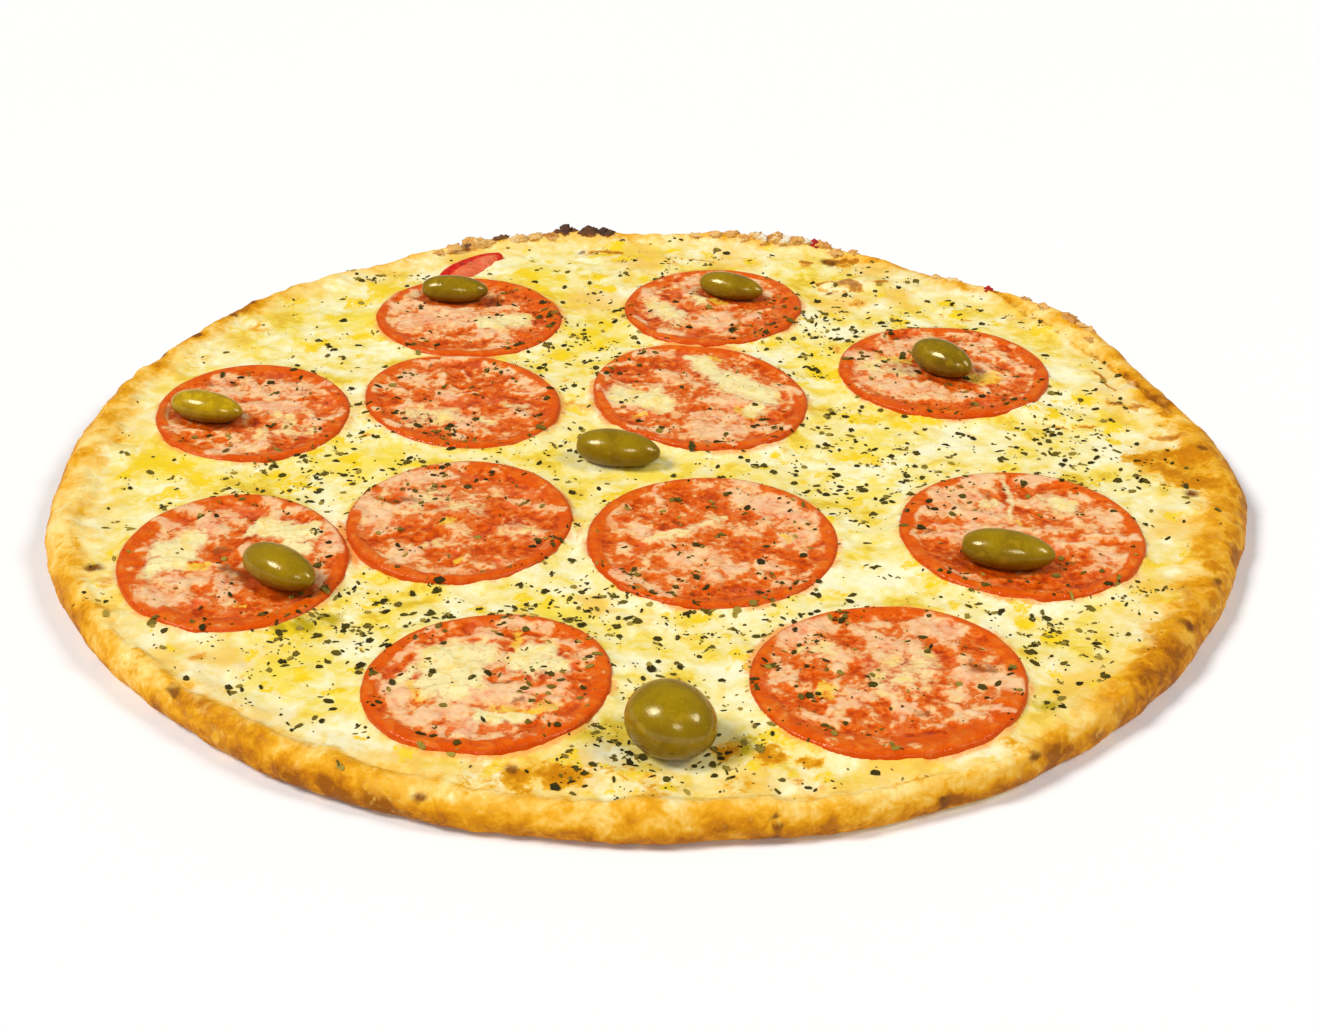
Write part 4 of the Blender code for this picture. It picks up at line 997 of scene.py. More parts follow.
def olive_finish(look):
    """Wet green olive skin with faint freckles, browner in places, painted darker towards the bottom as shade
    and paler on top as light.
    """
    paint = Finish("green olive skin")
    broad = paint.grain(9.0, 2.0, 0.5, 0.3)
    middling = paint.grain(3.0, 3.0, 0.55, offset=0.4)
    freckle = paint.grain(0.6, 2.0, 0.5, offset=0.8)
    tint = paint.coats(
        paint.mixed(paint.between(broad, 0.36, 0.64), look.shade, look.green),
        (paint.between(middling, 0.5, 0.7, 0.0, 0.6), (176, 142, 12)),
        (paint.between(freckle, 0.6, 0.74, 0.0, 0.35), (190, 160, 48)),
        # each olive's own paleness, stronger on top as painted light
        ("pale", paint.mixed(paint.between(middling, 0.4, 0.6), (206, 168, 10), (180, 142, 2))),
        # painted shade towards the bottom, and the brown stalk end
        ("low", (96, 70, 0)), ("stalk", (92, 62, 14)))
    paint.shader.inputs["Coat Weight"].default_value = 0.15
    paint.shader.inputs["Coat Roughness"].default_value = 0.12
    height = paint.total(middling, paint.times(freckle, 0.2))
    return paint.done(tint, paint.between(middling, 0.3, 0.7, 0.15, 0.24), 0.5, (1.0, 0.9, 0.5), height, 0.12)


def herb_finish(look):
    """Dried oregano, from black-green to straw."""
    paint = Finish("dried oregano")
    fine = paint.grain(0.6, 3.0, 0.6)
    tint = paint.ramp(paint.total("tone", paint.swung(fine, 0.5)), (0.0, look.darkest), (0.35, (84, 72, 18)),
                      (0.65, (120, 102, 32)), (1.0, look.lightest))
    return paint.done(tint, paint.between(fine, 0.3, 0.7, 0.6, 0.8), 0.15, height=fine, depth=0.15)


def crumb_finish():
    """Crisp crumbs at the crust's edge: browned dough, charred bits, dried cheese and pepper."""
    paint = Finish("crisp crumbs")
    middling = paint.grain(2.2, 3.0, 0.6, offset=0.4)
    fine = paint.grain(0.8, 4.0, 0.6)
    kind = paint.total("kind", paint.swung(fine, 0.4), paint.swung(middling, 0.3))
    tint = paint.ramp(kind, (0.0, (78, 54, 46)), (0.2, (124, 82, 50)), (0.36, (190, 122, 52)),
                      (0.52, (232, 172, 92)), (0.70, (246, 206, 128)), (0.84, (244, 232, 206)))
    tint = paint.mixed("red", tint, (184, 42, 36))
    return paint.done(tint, paint.between(fine, 0.2, 0.8, 0.55, 0.8), 0.15, height=fine, depth=0.4)


def floor_finish(look):
    """A plain matt studio floor, very slightly uneven."""
    paint = Finish("pale studio floor")
    return paint.done(paint.mixed(paint.grain(400.0, 2.0), look.floor, (250, 250, 251)), 0.9, 0.1)


# The crust

def crease_distance(x, y):
    """Distance to the crease, below 0 on the side of the pizza's middle."""
    nearest = np.full_like(x, FAR)
    for (x0, y0), (x1, y1) in zip(CREASE[:-1], CREASE[1:]):
        dx, dy = x1 - x0, y1 - y0
        along = np.clip(((x - x0) * dx + (y - y0) * dy) / (dx ** 2 + dy ** 2), 0, 1)
        near_x, near_y = x0 + along * dx, y0 + along * dy
        signed = np.hypot(x - near_x, y - near_y) * np.sign(np.hypot(x, y) - np.hypot(near_x, near_y))
        nearest = np.where(np.abs(signed) < np.abs(nearest), signed, nearest)
    return nearest


def on_top(z):
    """1 on top of the rim and 0 down its side."""
    return fade(z, 7.0, 9.0)


def surface_normals(grid):
    """Outward normals of a closed band of rings, one row for each ring."""
    around = np.roll(grid, -1, axis=1) - np.roll(grid, 1, axis=1)
    normal = np.cross(np.gradient(grid, axis=0), around)
    return normal / np.maximum(np.linalg.norm(normal, axis=2, keepdims=True), 1e-9)


def crust_bands(sectors, depth):
    """The rim's points, ring by ring, with its bubbles, lumps and crease, and each point's inset."""
    angles = round_angles(sectors)
    controls = rim_sections(angles)
    samples = np.concatenate([np.linspace(0, 1, SLOPE_ROWS + 1)[:-1],
                              np.linspace(1, len(controls) - 1, RIM_ROWS)])
    inset, z = smooth_stations(controls, samples).transpose(1, 0, 2)
    x, y = from_centre(raw_radius(angles)[None, :] - inset, angles)
    grid = np.dstack([x, y, z])
    u, v = x + 0.7 * z, y - 0.6 * z
    height = 0.55 * cloud(u, v, 15.0, 31) + 0.26 * cloud(u, v, 5.5, 32) + 0.12 * cloud(u, v, 2.0, 33)
    height += 0.6 * bubbles(u, v, 11.0, 34, 0.25, 0.45, 1.5)
    height += 0.22 * bubbles(u, v, 4.2, 36, 0.25, 0.4)
    crease = crease_distance(x, y)
    flap = np.where(crease > 0, np.exp(-np.abs(crease) / 4.0), 0)
    height += on_top(z) * (-CREASE_DEPTH * bump(crease, 1.3) + FLAP_RISE * flap)
    settled = fade(z, 0.2, 3.0)
    grid = grid + surface_normals(grid) * (height * depth * (0.25 + 0.75 * settled))[:, :, None]
    grid[:, :, 2] = np.maximum(grid[:, :, 2], 0.0)
    return grid, inset


def blisters_at(x, y):
    """Rise of the cheese's bubbles, and how close each point is to the foot on one side of a bubble, which is
    sunk a little and painted darker as the bubble's shade.
    """
    rise, foot = np.zeros_like(x), np.zeros_like(x)
    x, y = x + 1.2 * cloud(x, y, 7.0, 91), y + 1.2 * cloud(x, y, 7.0, 92)
    for blister_x, blister_y, length, width, height, direction in BLISTERS:
        away, across = in_oval(x - blister_x, y - blister_y, length, width, direction)
        rise = np.maximum(rise, height * np.clip(1.0 - away ** 2, 0, 1) ** 0.7)
        foot = np.maximum(foot, bump(away - 1.04, 0.11) * fade(-across, -0.2, 0.5))
    return rise, foot


def surface_marks(x, y, z, beyond, width):
    """How baked, doughy, yellow, toasted and stained the crust or the cheese is at each point, with painted
    shade in the crease, under the cheese's bubbles and beside the olives; `beyond` is the distance outwards
    from the cheese's edge."""
    angles = np.arctan2(y - CENTRE_Y, x - CENTRE_X)
    outer = np.clip(beyond / width, -1.0, 1.0)
    down = fade(outer, 0.6, 1.0) * (11.0 - z)
    u, v = x + down * np.cos(angles), y + down * np.sin(angles)
    fallen = fade(-z, -10.5, -1.5) * fade(outer, 0.45, 0.8)
    baked = 0.14 + 0.24 * fade(beyond, -8.0, 6.0) + 0.06 * fade(outer, 0.5, 0.95) + 0.50 * fallen
    for direction, more, half_width, start in HEAT:
        baked += more * bump(turn_between(angles, direction), half_width) * fade(outer, start, start + 0.8)
    baked += 0.18 * cloud(u, v, 12.0, 51) + 0.10 * cloud(u, v, 4.0, 57)
    crease = crease_distance(x, y)
    baked = np.minimum(baked, MOST_BAKED) + 0.16 * dabs(u, v, TOASTED_DABS, 2.2, 52)
    # along the crease the dough is painted more baked, as the crease's shade
    baked = baked + 0.3 * bump(crease + 0.4, 1.6) * on_top(z)
    scorched = dabs(u, v, SCORCHED_SPOTS, 1.3, 54)
    scorched = np.maximum(scorched, 0.3 * fade(outer, 0.5, 0.9) * specks(u, v, 7.0, 55, 0.6, 0.2))
    # and a dark line in the crease: painted shade
    scorched = np.maximum(scorched, 0.6 * bump(crease, 0.9) * on_top(z))
    wander_x, wander_y = x + 3.0 * cloud(x, y, 9.0, 95), y + 4.0 * cloud(x, y, 9.0, 96)
    fold = strokes_at(wander_x, wander_y, BROWNED_FOLDS) * fade(cloud(x, y, 5.0, 97), -0.7, 0.3)
    # the foot on one side of each bubble: painted shade under the bubble
    fold = np.maximum(fold, 0.9 * blisters_at(x, y)[1] * fade(cloud(x, y, 6.0, 93), -0.6, 0.3))
    toasted = 0.9 * dabs(x, y, TOASTED_DABS, 2.4, 83)
    toasted = np.maximum(toasted, fade(beyond, -14.0, 2.0) * (0.12 + 0.5 * cloud(x, y, 8.0, 84)))
    toasted = np.maximum(toasted, 0.45 * fade(cloud(x, y, 13.0, 85), 0.55, 0.9))
    kept = 1.0 - 0.9 * dabs(x, y, PALE_AREAS, 4.0, 98)
    return {
        "baked": baked, "scorched": scorched, "fold": fold, "toasted": kept * toasted,
        "golden": np.maximum(dabs(x, y, YELLOW_DABS, 3.0, 81), 0.7 * fade(cloud(x, y, 9.0, 82), 0.42, 0.75)),
        "dough": np.maximum(fade(beyond + 4.0 * cloud(x, y, 9.0, 58), -7.0, 6.0), fade(outer, 0.6, 0.85)),
        "sunny": 0.85 * kept * dabs(x, y, SUNNY_AREAS, 6.0, 88),
        "warm": kept * np.maximum(0.9 * dabs(x, y, WARM_AREAS, 5.0, 89), 0.45 * fade(beyond, -24.0, 0.0)),
        "oily": dabs(x, y, OIL_STAINS_AND_SHADOW, 2.0, 86),
        "blotch": np.maximum(dabs(u, v, BLOTCHES_AND_OLIVE_SHADOW, 3.5, 90), 0.5 * dabs(u, v, FAINT_BLOTCHES, 4.5, 94)),
    }


def crust_underside(rim_ring, depth):
    """Rings across the flat base, which lifts a little off the floor at places."""
    middle = np.array([CENTRE_X, CENTRE_Y])
    rings = []
    for share in np.append(np.linspace(1.0, 0.02, BASE_ROWS + 1)[1:], 0.002):
        spot = middle + (rim_ring[:, :2] - middle) * share
        lift = 0.28 * depth * (1 + cloud(*spot.T, 9.0, 61)) * fade(-share, -1.0, -0.9)
        rings.append(np.column_stack([spot, np.maximum(lift, 0.0)]))
    return np.array(rings)


def build_crust(look):
    """The rim and the whole underside; the top is left flat where the cheese covers it."""
    sectors, depth = look.sectors, look.relief / MM
    grid, inset = crust_bands(sectors, depth)
    width = rim_width(round_angles(sectors))[None, :] + 0 * inset
    base = crust_underside(grid[-1], depth)
    x, y = base[:, :, 0], base[:, :, 1]
    under = {
        "baked": 0.62 + 0.22 * cloud(x, y, 24.0, 62), "dough": np.ones_like(x),
        "scorched": 0.75 * specks(x, y, 16.0, 63, 0.2, 0.3) + 0.15 * cloud(x, y, 8.0, 64),
        "floured": (0.55 + 0.45 * cloud(x, y, 18.0, 65)) * fade(-np.hypot(x, y), -168.0, -150.0),
    }
    marks = {}
    for name, values in {**surface_marks(*grid.transpose(2, 0, 1), width - inset, width),
                         "floured": 0 * inset}.items():
        values = np.append(values, under.get(name, 0 * x))
        marks[name] = np.append(values, (0.3, values[-sectors:].mean()))
    ends = ((CENTRE_X, CENTRE_Y, FLOOR_HEIGHT), (CENTRE_X, CENTRE_Y, base[-1, :, 2].mean()))
    points = np.vstack([grid.reshape(-1, 3), base.reshape(-1, 3), ends])
    rows = len(grid) + len(base)
    tip = len(points) - 1
    faces = bands(0, rows, sectors)[:, ::-1].tolist() + fan(0, sectors, tip - 1)
    faces += fan((rows - 1) * sectors, sectors, tip, flipped=True)
    return make_piece("baked_crust", points, faces, marks)


# The cheese

def cheese_surface(x, y, depth):
    """Height of the melted cheese with its bubbles and fine unevenness."""
    height = np.full_like(x, CHEESE_HEIGHT)
    for size, rise, seed in CHEESE_SWELLS:
        height = height + rise * swell(x, y, size, seed)
    for mound_x, mound_y, radius, rise in MOUNDS:
        height = height + rise * bump(np.hypot(x - mound_x, y - mound_y), radius)
    fine = 0.28 * cloud(x, y, 7.0, 3) + 0.11 * cloud(x, y, 2.8, 4)
    fine += 0.45 * bubbles(x, y, 9.0, 71, 0.3, 0.36, 1.3)
    fine -= 0.35 * bubbles(x, y, 6.0, 73, 0.45, 0.3)
    rise, foot = blisters_at(x, y)
    return height + depth * (fine + rise - 0.35 * foot)


def edge_heights(angle, edge, beyond):
    """Height of the crust under the cheese's edge, straight on inwards from where the crust rises."""
    crust = top_surfaces(["baked_crust"])
    heights = np.full_like(angle, EDGE_HEIGHT)
    for index in np.flatnonzero(beyond > -9.0):
        spot = drop(crust, *from_centre(max(edge[index] + beyond[index], edge[index]), angle[index]))
        if spot:
            heights[index] = spot[0].z / MM
    return heights


def build_cheese(look):
    """Melted cheese over the crust's inner slope, with a pocket for each slice."""
    share, angle, quads, rim = disk_grid(look.grid)
    width = rim_width(angle)
    edge = raw_radius(angle) - width
    overlap = RIM_COVERED * width
    radius = share * (edge + overlap)
    x, y = from_centre(radius, angle)
    beyond = radius - edge
    over = np.clip(beyond / overlap + 0.35 * cloud(x, y, 8.0, 77) * fade(beyond, 0.0, 2.0), 0.0, 1.0)
    lip = edge_heights(angle, edge, beyond) + CHEESE_LIP * (1 - over) ** 2.6 - 0.32 * over ** 1.5
    lip = lip + 0.4 * cloud(x, y, 6.0, 74) * (1 - over) ** 2
    at_edge = fade(beyond, -8.0, 0.0)
    z = cheese_surface(x, y, look.relief / MM) * (1 - at_edge) + lip * at_edge
    apart, second = np.full_like(x, FAR), np.full_like(x, FAR)   # distances to the two nearest slices
    floor = np.zeros_like(x)
    for form in SLICES:
        outside = form.outside(x, y) + 18.0 * form.sunk(x, y, 4.0)
        second = np.minimum(second, np.maximum(outside, apart))
        floor = np.where(outside < apart, form.skin_height(x, y) - SLICE_THICKNESS - POCKET_GAP, floor)
        apart = np.minimum(apart, outside)
    rise = look.meniscus / MM * (1 + 0.35 * cloud(x, y, 6.0, 75))
    z = z + rise * np.exp(-np.maximum(apart, 0.0) / MENISCUS_RUN)
    skin = floor + SLICE_THICKNESS + POCKET_GAP
    z = np.where(apart < 0.8, np.minimum(z, skin - 0.75 + 0.3 * np.clip(apart, -1, 0.8)), z)
    under = fade(-apart, 1.2, 2.6)
    z = z * (1 - under) + floor * under
    marks = surface_marks(x, y, z, beyond, width)
    juice = bump(np.maximum(apart - 0.2, 0.0), 1.9) * (0.35 + 0.5 * fade(cloud(x, y, 11.0, 87), -0.3, 0.7))
    marks["stained"] = np.maximum(juice, bump(np.maximum(second - 1.5, 0.0), 1.8))
    count, start = len(rim), len(x)
    low = np.column_stack([x[rim], y[rim], np.full(count, EDGE_HEIGHT - 1.5)])
    inner = np.column_stack([*from_centre(edge[rim] - 4.0, angle[rim]), np.full(count, CHEESE_FLOOR)])
    points = np.vstack([np.column_stack([x, y, z]), low, inner, (CENTRE_X, CENTRE_Y, CHEESE_FLOOR)])
    faces = quads.tolist() + skirt(rim, start) + bands(start, 2, count)[:, ::-1].tolist()
    faces += fan(start + count, count, len(points) - 1, flipped=True)
    piece = make_piece("melted_cheese", points, faces, lengthened(marks, len(points) - start, 0.2, {}))
    piece.data.set_sharp_from_angle(angle=math.radians(60))
    return piece


# The tomato slices

def olive_foot_shade(x, y):
    """1 under and close beside an olive, where the slice is painted darker as the olive's shade."""
    most = np.zeros_like(x)
    for olive_x, olive_y, length, width, _, direction in OLIVES:
        away, _ = in_oval(x - olive_x, y - olive_y + 1.0, length, width, direction)
        most = np.maximum(most, 1 - fade(away, 0.95, 1.3))
    return most


def pips_at(form, chambers, x, y, span, draw):
    """How much of a pip shows at each point."""
    pips = np.zeros_like(x)
    for _ in range(chambers * 6):
        reach = span * draw.uniform(0.34, 0.74)
        turn = draw.uniform(0, 2 * math.pi)
        lean = turn + draw.uniform(-0.5, 0.5)
        along, across = rotated(x - form.x - reach * math.cos(turn), y - form.y - reach * math.sin(turn), -lean)
        along, across = along / draw.uniform(1.5, 1.9), across / draw.uniform(0.9, 1.15)
        pips = np.maximum(pips, np.clip(1.25 - along ** 2 - across ** 2, 0, 1))
    return pips


def slice_marks(form, number, x, y, inset, span):
    """Depth below the skin plane and the kinds of flesh at each point of a slice."""
    seed = 200 + 11 * number
    draw = random.Random(seed)
    warp_x = x + 0.8 * cloud(x, y, 3.0, seed) + 1.1 * cloud(x, y, 8.0, seed + 6)
    warp_y = y + 1.3 * cloud(x, y, 3.0, seed + 1) + 1.8 * cloud(x, y, 8.0, seed + 7)
    seen = {}
    for kind, wider in STROKE_WIDTHS.items():
        strokes = SLICE_STROKES.get(number, {}).get(kind, ())
        seen[kind] = strokes_at(warp_x, warp_y, [(*ends, wider * half_width) for *ends, half_width in strokes])
    r, turn = form.polar(warp_x, warp_y)
    wall_width = 3.7 + 1.0 * cloud(x, y, 16.0, seed + 2)
    for wide_x, wide_y, more, reach in WIDE_WALLS.get(number, ()):
        wall_width = wall_width + more * bump(np.hypot(x - wide_x, y - wide_y), reach)
    interior = fade(inset, wall_width - 0.7, wall_width + 0.9)
    chambers = draw.choice((5, 6, 6, 7))
    phase = ((turn - draw.uniform(0, 6.28)) * chambers / (2 * math.pi)) % 1.0
    from_septum = np.minimum(phase, 1 - phase) * 2 * math.pi / chambers * r
    chamber = interior * fade(from_septum, 1.1, 2.5) * fade(r, 0.20 * span, 0.27 * span)
    bits = cloud(warp_x, warp_y, 3.0, seed + 4, 2)
    tone = 0.53 + 0.34 * cloud(warp_x, warp_y, 7.5, seed + 3) + 0.16 * bits - 0.05 * chamber
    # pale patches lighten the tone, some of them as painted highlights; red patches darken it, some as painted
    # shadow under the olives
    tone = tone + (0.86 - tone) * 0.9 * seen["pale"]
    tone = tone + (0.20 - tone) * 0.85 * seen["red"]
    streak = fade(cloud(x, y, 8.0, seed + 5), 0.45, 0.75) * fade(inset, 1.2, 2.2)
    tone = np.where(interior < 0.5, np.maximum(tone, 0.6 * streak), tone)
    pips = pips_at(form, chambers, x, y, span, draw) * fade(chamber, 0.3, 0.8) * (1 - seen["cheesy"])
    tone = tone + 0.25 * pips
    cheesy = CHEESINESS.get(number, 0.6) * seen["cheesy"] * fade(inset, 0.8, 2.5)
    # painted shade round each olive's foot: darker tone and the dark mark
    foot = olive_foot_shade(x, y)
    tone = tone + (0.12 - tone) * 0.8 * foot
    sunken = fade(inset, 1.0, wall_width + 2.5)
    depth = 0.42 * sunken + 0.4 * chamber * sunken + 0.35 * seen["dark"]
    depth = depth - 0.8 * (np.clip(tone, 0, 1) - 0.5) * sunken - 0.25 * pips - 0.5 * cheesy
    depth = depth - 0.24 * cloud(x, y, 3.0, seed + 8) * fade(inset, 0.8, 2.5) * (1 - 0.7 * cheesy)
    depth = depth + SUNK_DEPTH * form.sunk(x, y)
    marks = {
        "wall": (1 - interior) * (1 - 0.9 * seen["pale"]) * (1 - 0.8 * streak), "tone": tone,
        # dark hollows, and painted shade round the olives
        "dark": np.maximum(0.9 * seen["dark"], 0.55 * foot), "cheesy": cheesy, "yellow": 0.9 * seen["yellow"],
        "skin": 0.8 * (1 - fade(inset, 0.4, 1.3)), "crimson": 0 * x, "pink": 0 * x,
    }
    if form.covered:
        outer = np.hypot(x, y) - np.hypot(form.x, form.y) + 0.35 * (form.x - x)
        band = 5.2 - 0.12 * (x + 70.0)
        crimson = (1 - fade(inset - band, -0.8, 0.8)) * fade(outer, -2.0, 1.0)
        marks.update(crimson=crimson, wall=0 * x, pink=0.8 - 0 * x, tone=0.5 + 0.1 * bits)
    return depth, marks


def build_slice(number, look):
    """A slice: lumpy flesh on top, a rounded skin and a flat underside."""
    form = SLICES[number - 1]
    share, angle, quads, rim = disk_grid(look.grid // 2 if form.covered else look.grid)
    reach = form.reach(angle)
    reach = reach + 0.22 * cloud(30 * np.cos(angle), 30 * np.sin(angle), 6.0, 90 + number)
    radius = share * (reach - TOP_INSET)
    x, y = form.x + radius * np.cos(angle), form.y + radius * np.sin(angle)
    inset = reach - radius
    depth, marks = slice_marks(form, number, x, y, inset, float(reach.mean()))
    depth = depth + 0.16 * fade(-inset, -1.9, -TOP_INSET)
    layers = [np.column_stack([x, y, form.skin_height(x, y) - depth])]
    for inward, below, follows in SLICE_SIDE:
        ring_x = form.x + (reach[rim] - inward) * np.cos(angle[rim])
        ring_y = form.y + (reach[rim] - inward) * np.sin(angle[rim])
        carried = follows * (depth[rim] - SUNK_DEPTH * form.sunk(x[rim], y[rim]))
        ring_z = form.skin_height(ring_x, ring_y) - below - carried - SUNK_DEPTH * form.sunk(ring_x, ring_y)
        layers.append(np.column_stack([ring_x, ring_y, ring_z]))
    middle = (form.x, form.y, form.skin_height(form.x, form.y) - SLICE_THICKNESS)
    points = np.vstack([*layers, middle])
    count, start, rings = len(rim), len(x), len(SLICE_SIDE)
    marks = lengthened(marks, len(points) - start, 0.0,
                       {"wall": 1.0, "skin": 0.6, "tone": 0.3, "crimson": 1.0 if form.covered else 0.0})
    faces = quads.tolist() + skirt(rim, start) + bands(start, rings, count)[:, ::-1].tolist()
    faces += fan(start + (rings - 1) * count, count, len(points) - 1, flipped=True)
    return make_piece(f"tomato_slice_{number}", points, faces, marks)


# The olives

def build_olive(number, look):
    """A whole olive: full at the stalk end, slightly pointed at the other, flat where it rests."""
    x, y, length, width, height, direction = OLIVES[number - 1]
    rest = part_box(f"olive_{number}")[0].z / MM
    stations, sides = look.stations, look.stations + 16
    turns = (np.arange(stations) + 0.5) * math.pi / stations
    around = round_angles(sides)
    along = -np.cos(turns)
    girth = np.sin(turns) ** 0.92 * (1.0 - 0.07 * along)
    nub = 0.35 * bump(along - 1.0, 0.06)
    dimple = 0.9 * bump(girth, 0.28) * (along < 0)
    local_x = (along * length / 2 + nub)[:, None] + 0 * around + dimple[:, None]
    uneven = cloud(14 * along[:, None] + 9 * np.cos(around), 9 * np.sin(around), 7.0, 300 + number)
    uneven = 1.0 + 0.012 * uneven
    local_y = girth[:, None] * width / 2 * np.cos(around) * uneven
    local_z = girth[:, None] * height / 2 * np.sin(around) * uneven
    turned_x, turned_y = rotated(local_x, local_y, math.radians(direction))
    world_z = np.maximum(local_z + height / 2 - OLIVE_SINK, OLIVE_FOOT) + rest
    points = np.dstack([x + turned_x, y + turned_y, world_z]).reshape(-1, 3)
    points = np.vstack([points, points[:sides].mean(axis=0), points[-sides:].mean(axis=0)])
    faces = bands(0, stations, sides).tolist() + fan(0, sides, len(points) - 2, flipped=True)
    faces += fan((stations - 1) * sides, sides, len(points) - 1)
    stalk = np.repeat(bump(girth, 0.17) * (along < 0), sides)
    upward = np.append(np.tile(np.sin(around), stations), (0, 0))
    marks = {
        "stalk": np.append(stalk, (1.0, 0.0)),
        # painted shade: darker towards the bottom of each olive
        "low": np.append(0.9 * fade(-local_z / height, -0.3, 0.36), (0.2, 0.2)),
        # each olive's own paleness, raised on top as painted light
        "pale": OLIVE_PALENESS[number - 1] * (0.6 + 0.4 * upward),
    }
    return make_piece(f"green_olive_{number}", points, faces, marks)


# Oregano and crumbs

def top_surfaces(names):
    graph = bpy.context.evaluated_depsgraph_get()
    return [BVHTree.FromObject(bpy.data.objects[name], graph) for name in names]


def drop(trees, x, y):
    """The highest point under a place and its normal, or None."""
    best = None
    for tree in trees:
        spot, normal, _, _ = tree.ray_cast(Vector((x, y, 100.0)) * MM, Vector((0, 0, -1)))
        if spot is not None and (best is None or spot.z > best[0].z):
            best = (spot, normal if normal.z > 0 else -normal)
    return best


def herb_thickness(x, y):
    """How thickly oregano lies, from 0 to 1."""
    near = max(float(bump(math.dist((x, y), middle), radius)) for *middle, radius in HERB_PATCHES)
    return 0.15 + 0.85 * near


def scrap_shape(length, draw):
    """Points and faces of one dried leaf scrap, about `length` long, in millimetres."""
    corners = draw.choice((5, 6, 7))
    slim = draw.choice((0.3, 0.4, 0.5, 0.62, 0.8))
    curl = draw.uniform(0.05, 0.4)
    bend = draw.uniform(-0.25, 0.3)
    top, bottom, faces = [], [], []
    for corner in range(corners):
        angle = 2 * math.pi * (corner + draw.uniform(-0.2, 0.2)) / corners
        reach = draw.uniform(0.72, 1.08) / 2
        u = length * reach * math.cos(angle)
        v = length * slim * reach * math.sin(angle)
        rise = 0.16 + curl * abs(v) + bend * u * u / max(length, 1.0)
        top.append((u, v, min(rise, 0.75)))
        bottom.append((0.9 * u, 0.9 * v, -0.3))
        after = (corner + 1) % corners
        faces += [(corner, after, corners), (after, corner, corners + 1 + corner, corners + 1 + after)]
    faces.append(tuple(range(2 * corners, corners, -1)))
    return [*top, (0.0, 0.0, 0.22), *bottom], faces


def herb_spots(look):
    """Place, length and tone of each flake: those of the solids first, then the many small ones."""
    draw = random.Random(17)
    spots = []
    for node in ["cheese"] + [f"tomato_{number}" for number in range(1, SLICE_COUNT + 1)]:
        for x, y, length in herb_places(node):
            if SLICES[-1].outside(np.array([x]), np.array([y]))[0] >= 1.0:
                spots.append((x, y, min(max(0.8 * length, 1.8), 3.2), draw.uniform(0.0, 0.35)))
    while len(spots) < look.flakes:
        x, y = draw.uniform(-HERB_EXTENT, HERB_EXTENT), draw.uniform(-HERB_EXTENT, HERB_EXTENT)
        angle = math.atan2(y - CENTRE_Y, x - CENTRE_X)
        inward = at_angle(raw_radius, angle) - math.hypot(x - CENTRE_X, y - CENTRE_Y)
        on_cheese = at_angle(rim_width, angle) < inward
        if inward < BARE_EDGE or draw.random() > herb_thickness(x, y) * (1.0 if on_cheese else ON_CRUST):
            continue
        for _ in range(draw.choice((1, 1, 1, 2, 3, 5))):
            size = look.smallest / MM + (look.longest - look.smallest) / MM * draw.random() ** 2.6
            spots.append((x + draw.gauss(0, 1.3), y + draw.gauss(0, 1.3), size, draw.random() ** 1.5))
    return spots


def herb_bits(look):
    """The flakes, each leaning with what it lies on; none lie under the olives."""
    names = [f"tomato_slice_{number}" for number in range(1, SLICE_COUNT + 1)]
    trees = top_surfaces(["melted_cheese", "baked_crust", *names])
    draw = random.Random(23)
    for x, y, length, tone in herb_spots(look):
        if any(math.dist((x, y), olive[:2]) < 0.36 * (olive[2] + olive[3]) / 2 for olive in OLIVES):
            continue
        hit = drop(trees, x, y)
        if hit is None:
            continue
        spot, normal = hit
        shape, faces = scrap_shape(length, draw)
        tilt = Vector((draw.uniform(-HERB_LEAN, HERB_LEAN), draw.uniform(-HERB_LEAN, HERB_LEAN), 0))
        turn = Vector((0, 0, 1)).rotation_difference((normal + tilt).normalized()).to_matrix()
        turn = turn @ Matrix.Rotation(draw.uniform(0, 2 * math.pi), 3, "Z")
        yield [tuple(spot / MM + turn @ Vector(point)) for point in shape], faces, {"tone": tone}


def build_herbs(look):
    piece = make_heap("oregano_flakes", herb_bits(look))
    piece.data.set_sharp_from_angle(angle=math.radians(40))
    return piece


def rough_crumb(centre, sizes, direction, seed, kind):
    """Points, faces and kinds of one craggy crumb; its foot takes the colour of the crust."""
    shape = bmesh.new()
    bmesh.ops.create_icosphere(shape, subdivisions=3, radius=1.0)
    spots = np.array([vertex.co[:] for vertex in shape.verts])
    faces = [tuple(vertex.index for vertex in face.verts) for face in shape.faces]
    shape.free()
    u, v = 3 * spots[:, 0] + 2.2 * spots[:, 2], 3 * spots[:, 1] - 1.9 * spots[:, 2]
    near, _ = cells(u, v, 1.5, seed)
    grown = 0.95 + 0.42 * cloud(u, v, 1.7, seed) + 0.24 * cloud(u, v, 0.7, seed + 3) - 0.55 * (near - 0.4)
    foot = 0.62 if kind > 0.3 else 0.42
    kinds = foot + (kind - foot) * fade(spots[:, 2] * grown, -0.1, 0.45)
    x, y, z = (spots * grown[:, None] * np.array(sizes)).T
    x, y = rotated(x, y, math.radians(direction))
    return np.column_stack([x, y, z]) + np.array(centre), faces, kinds


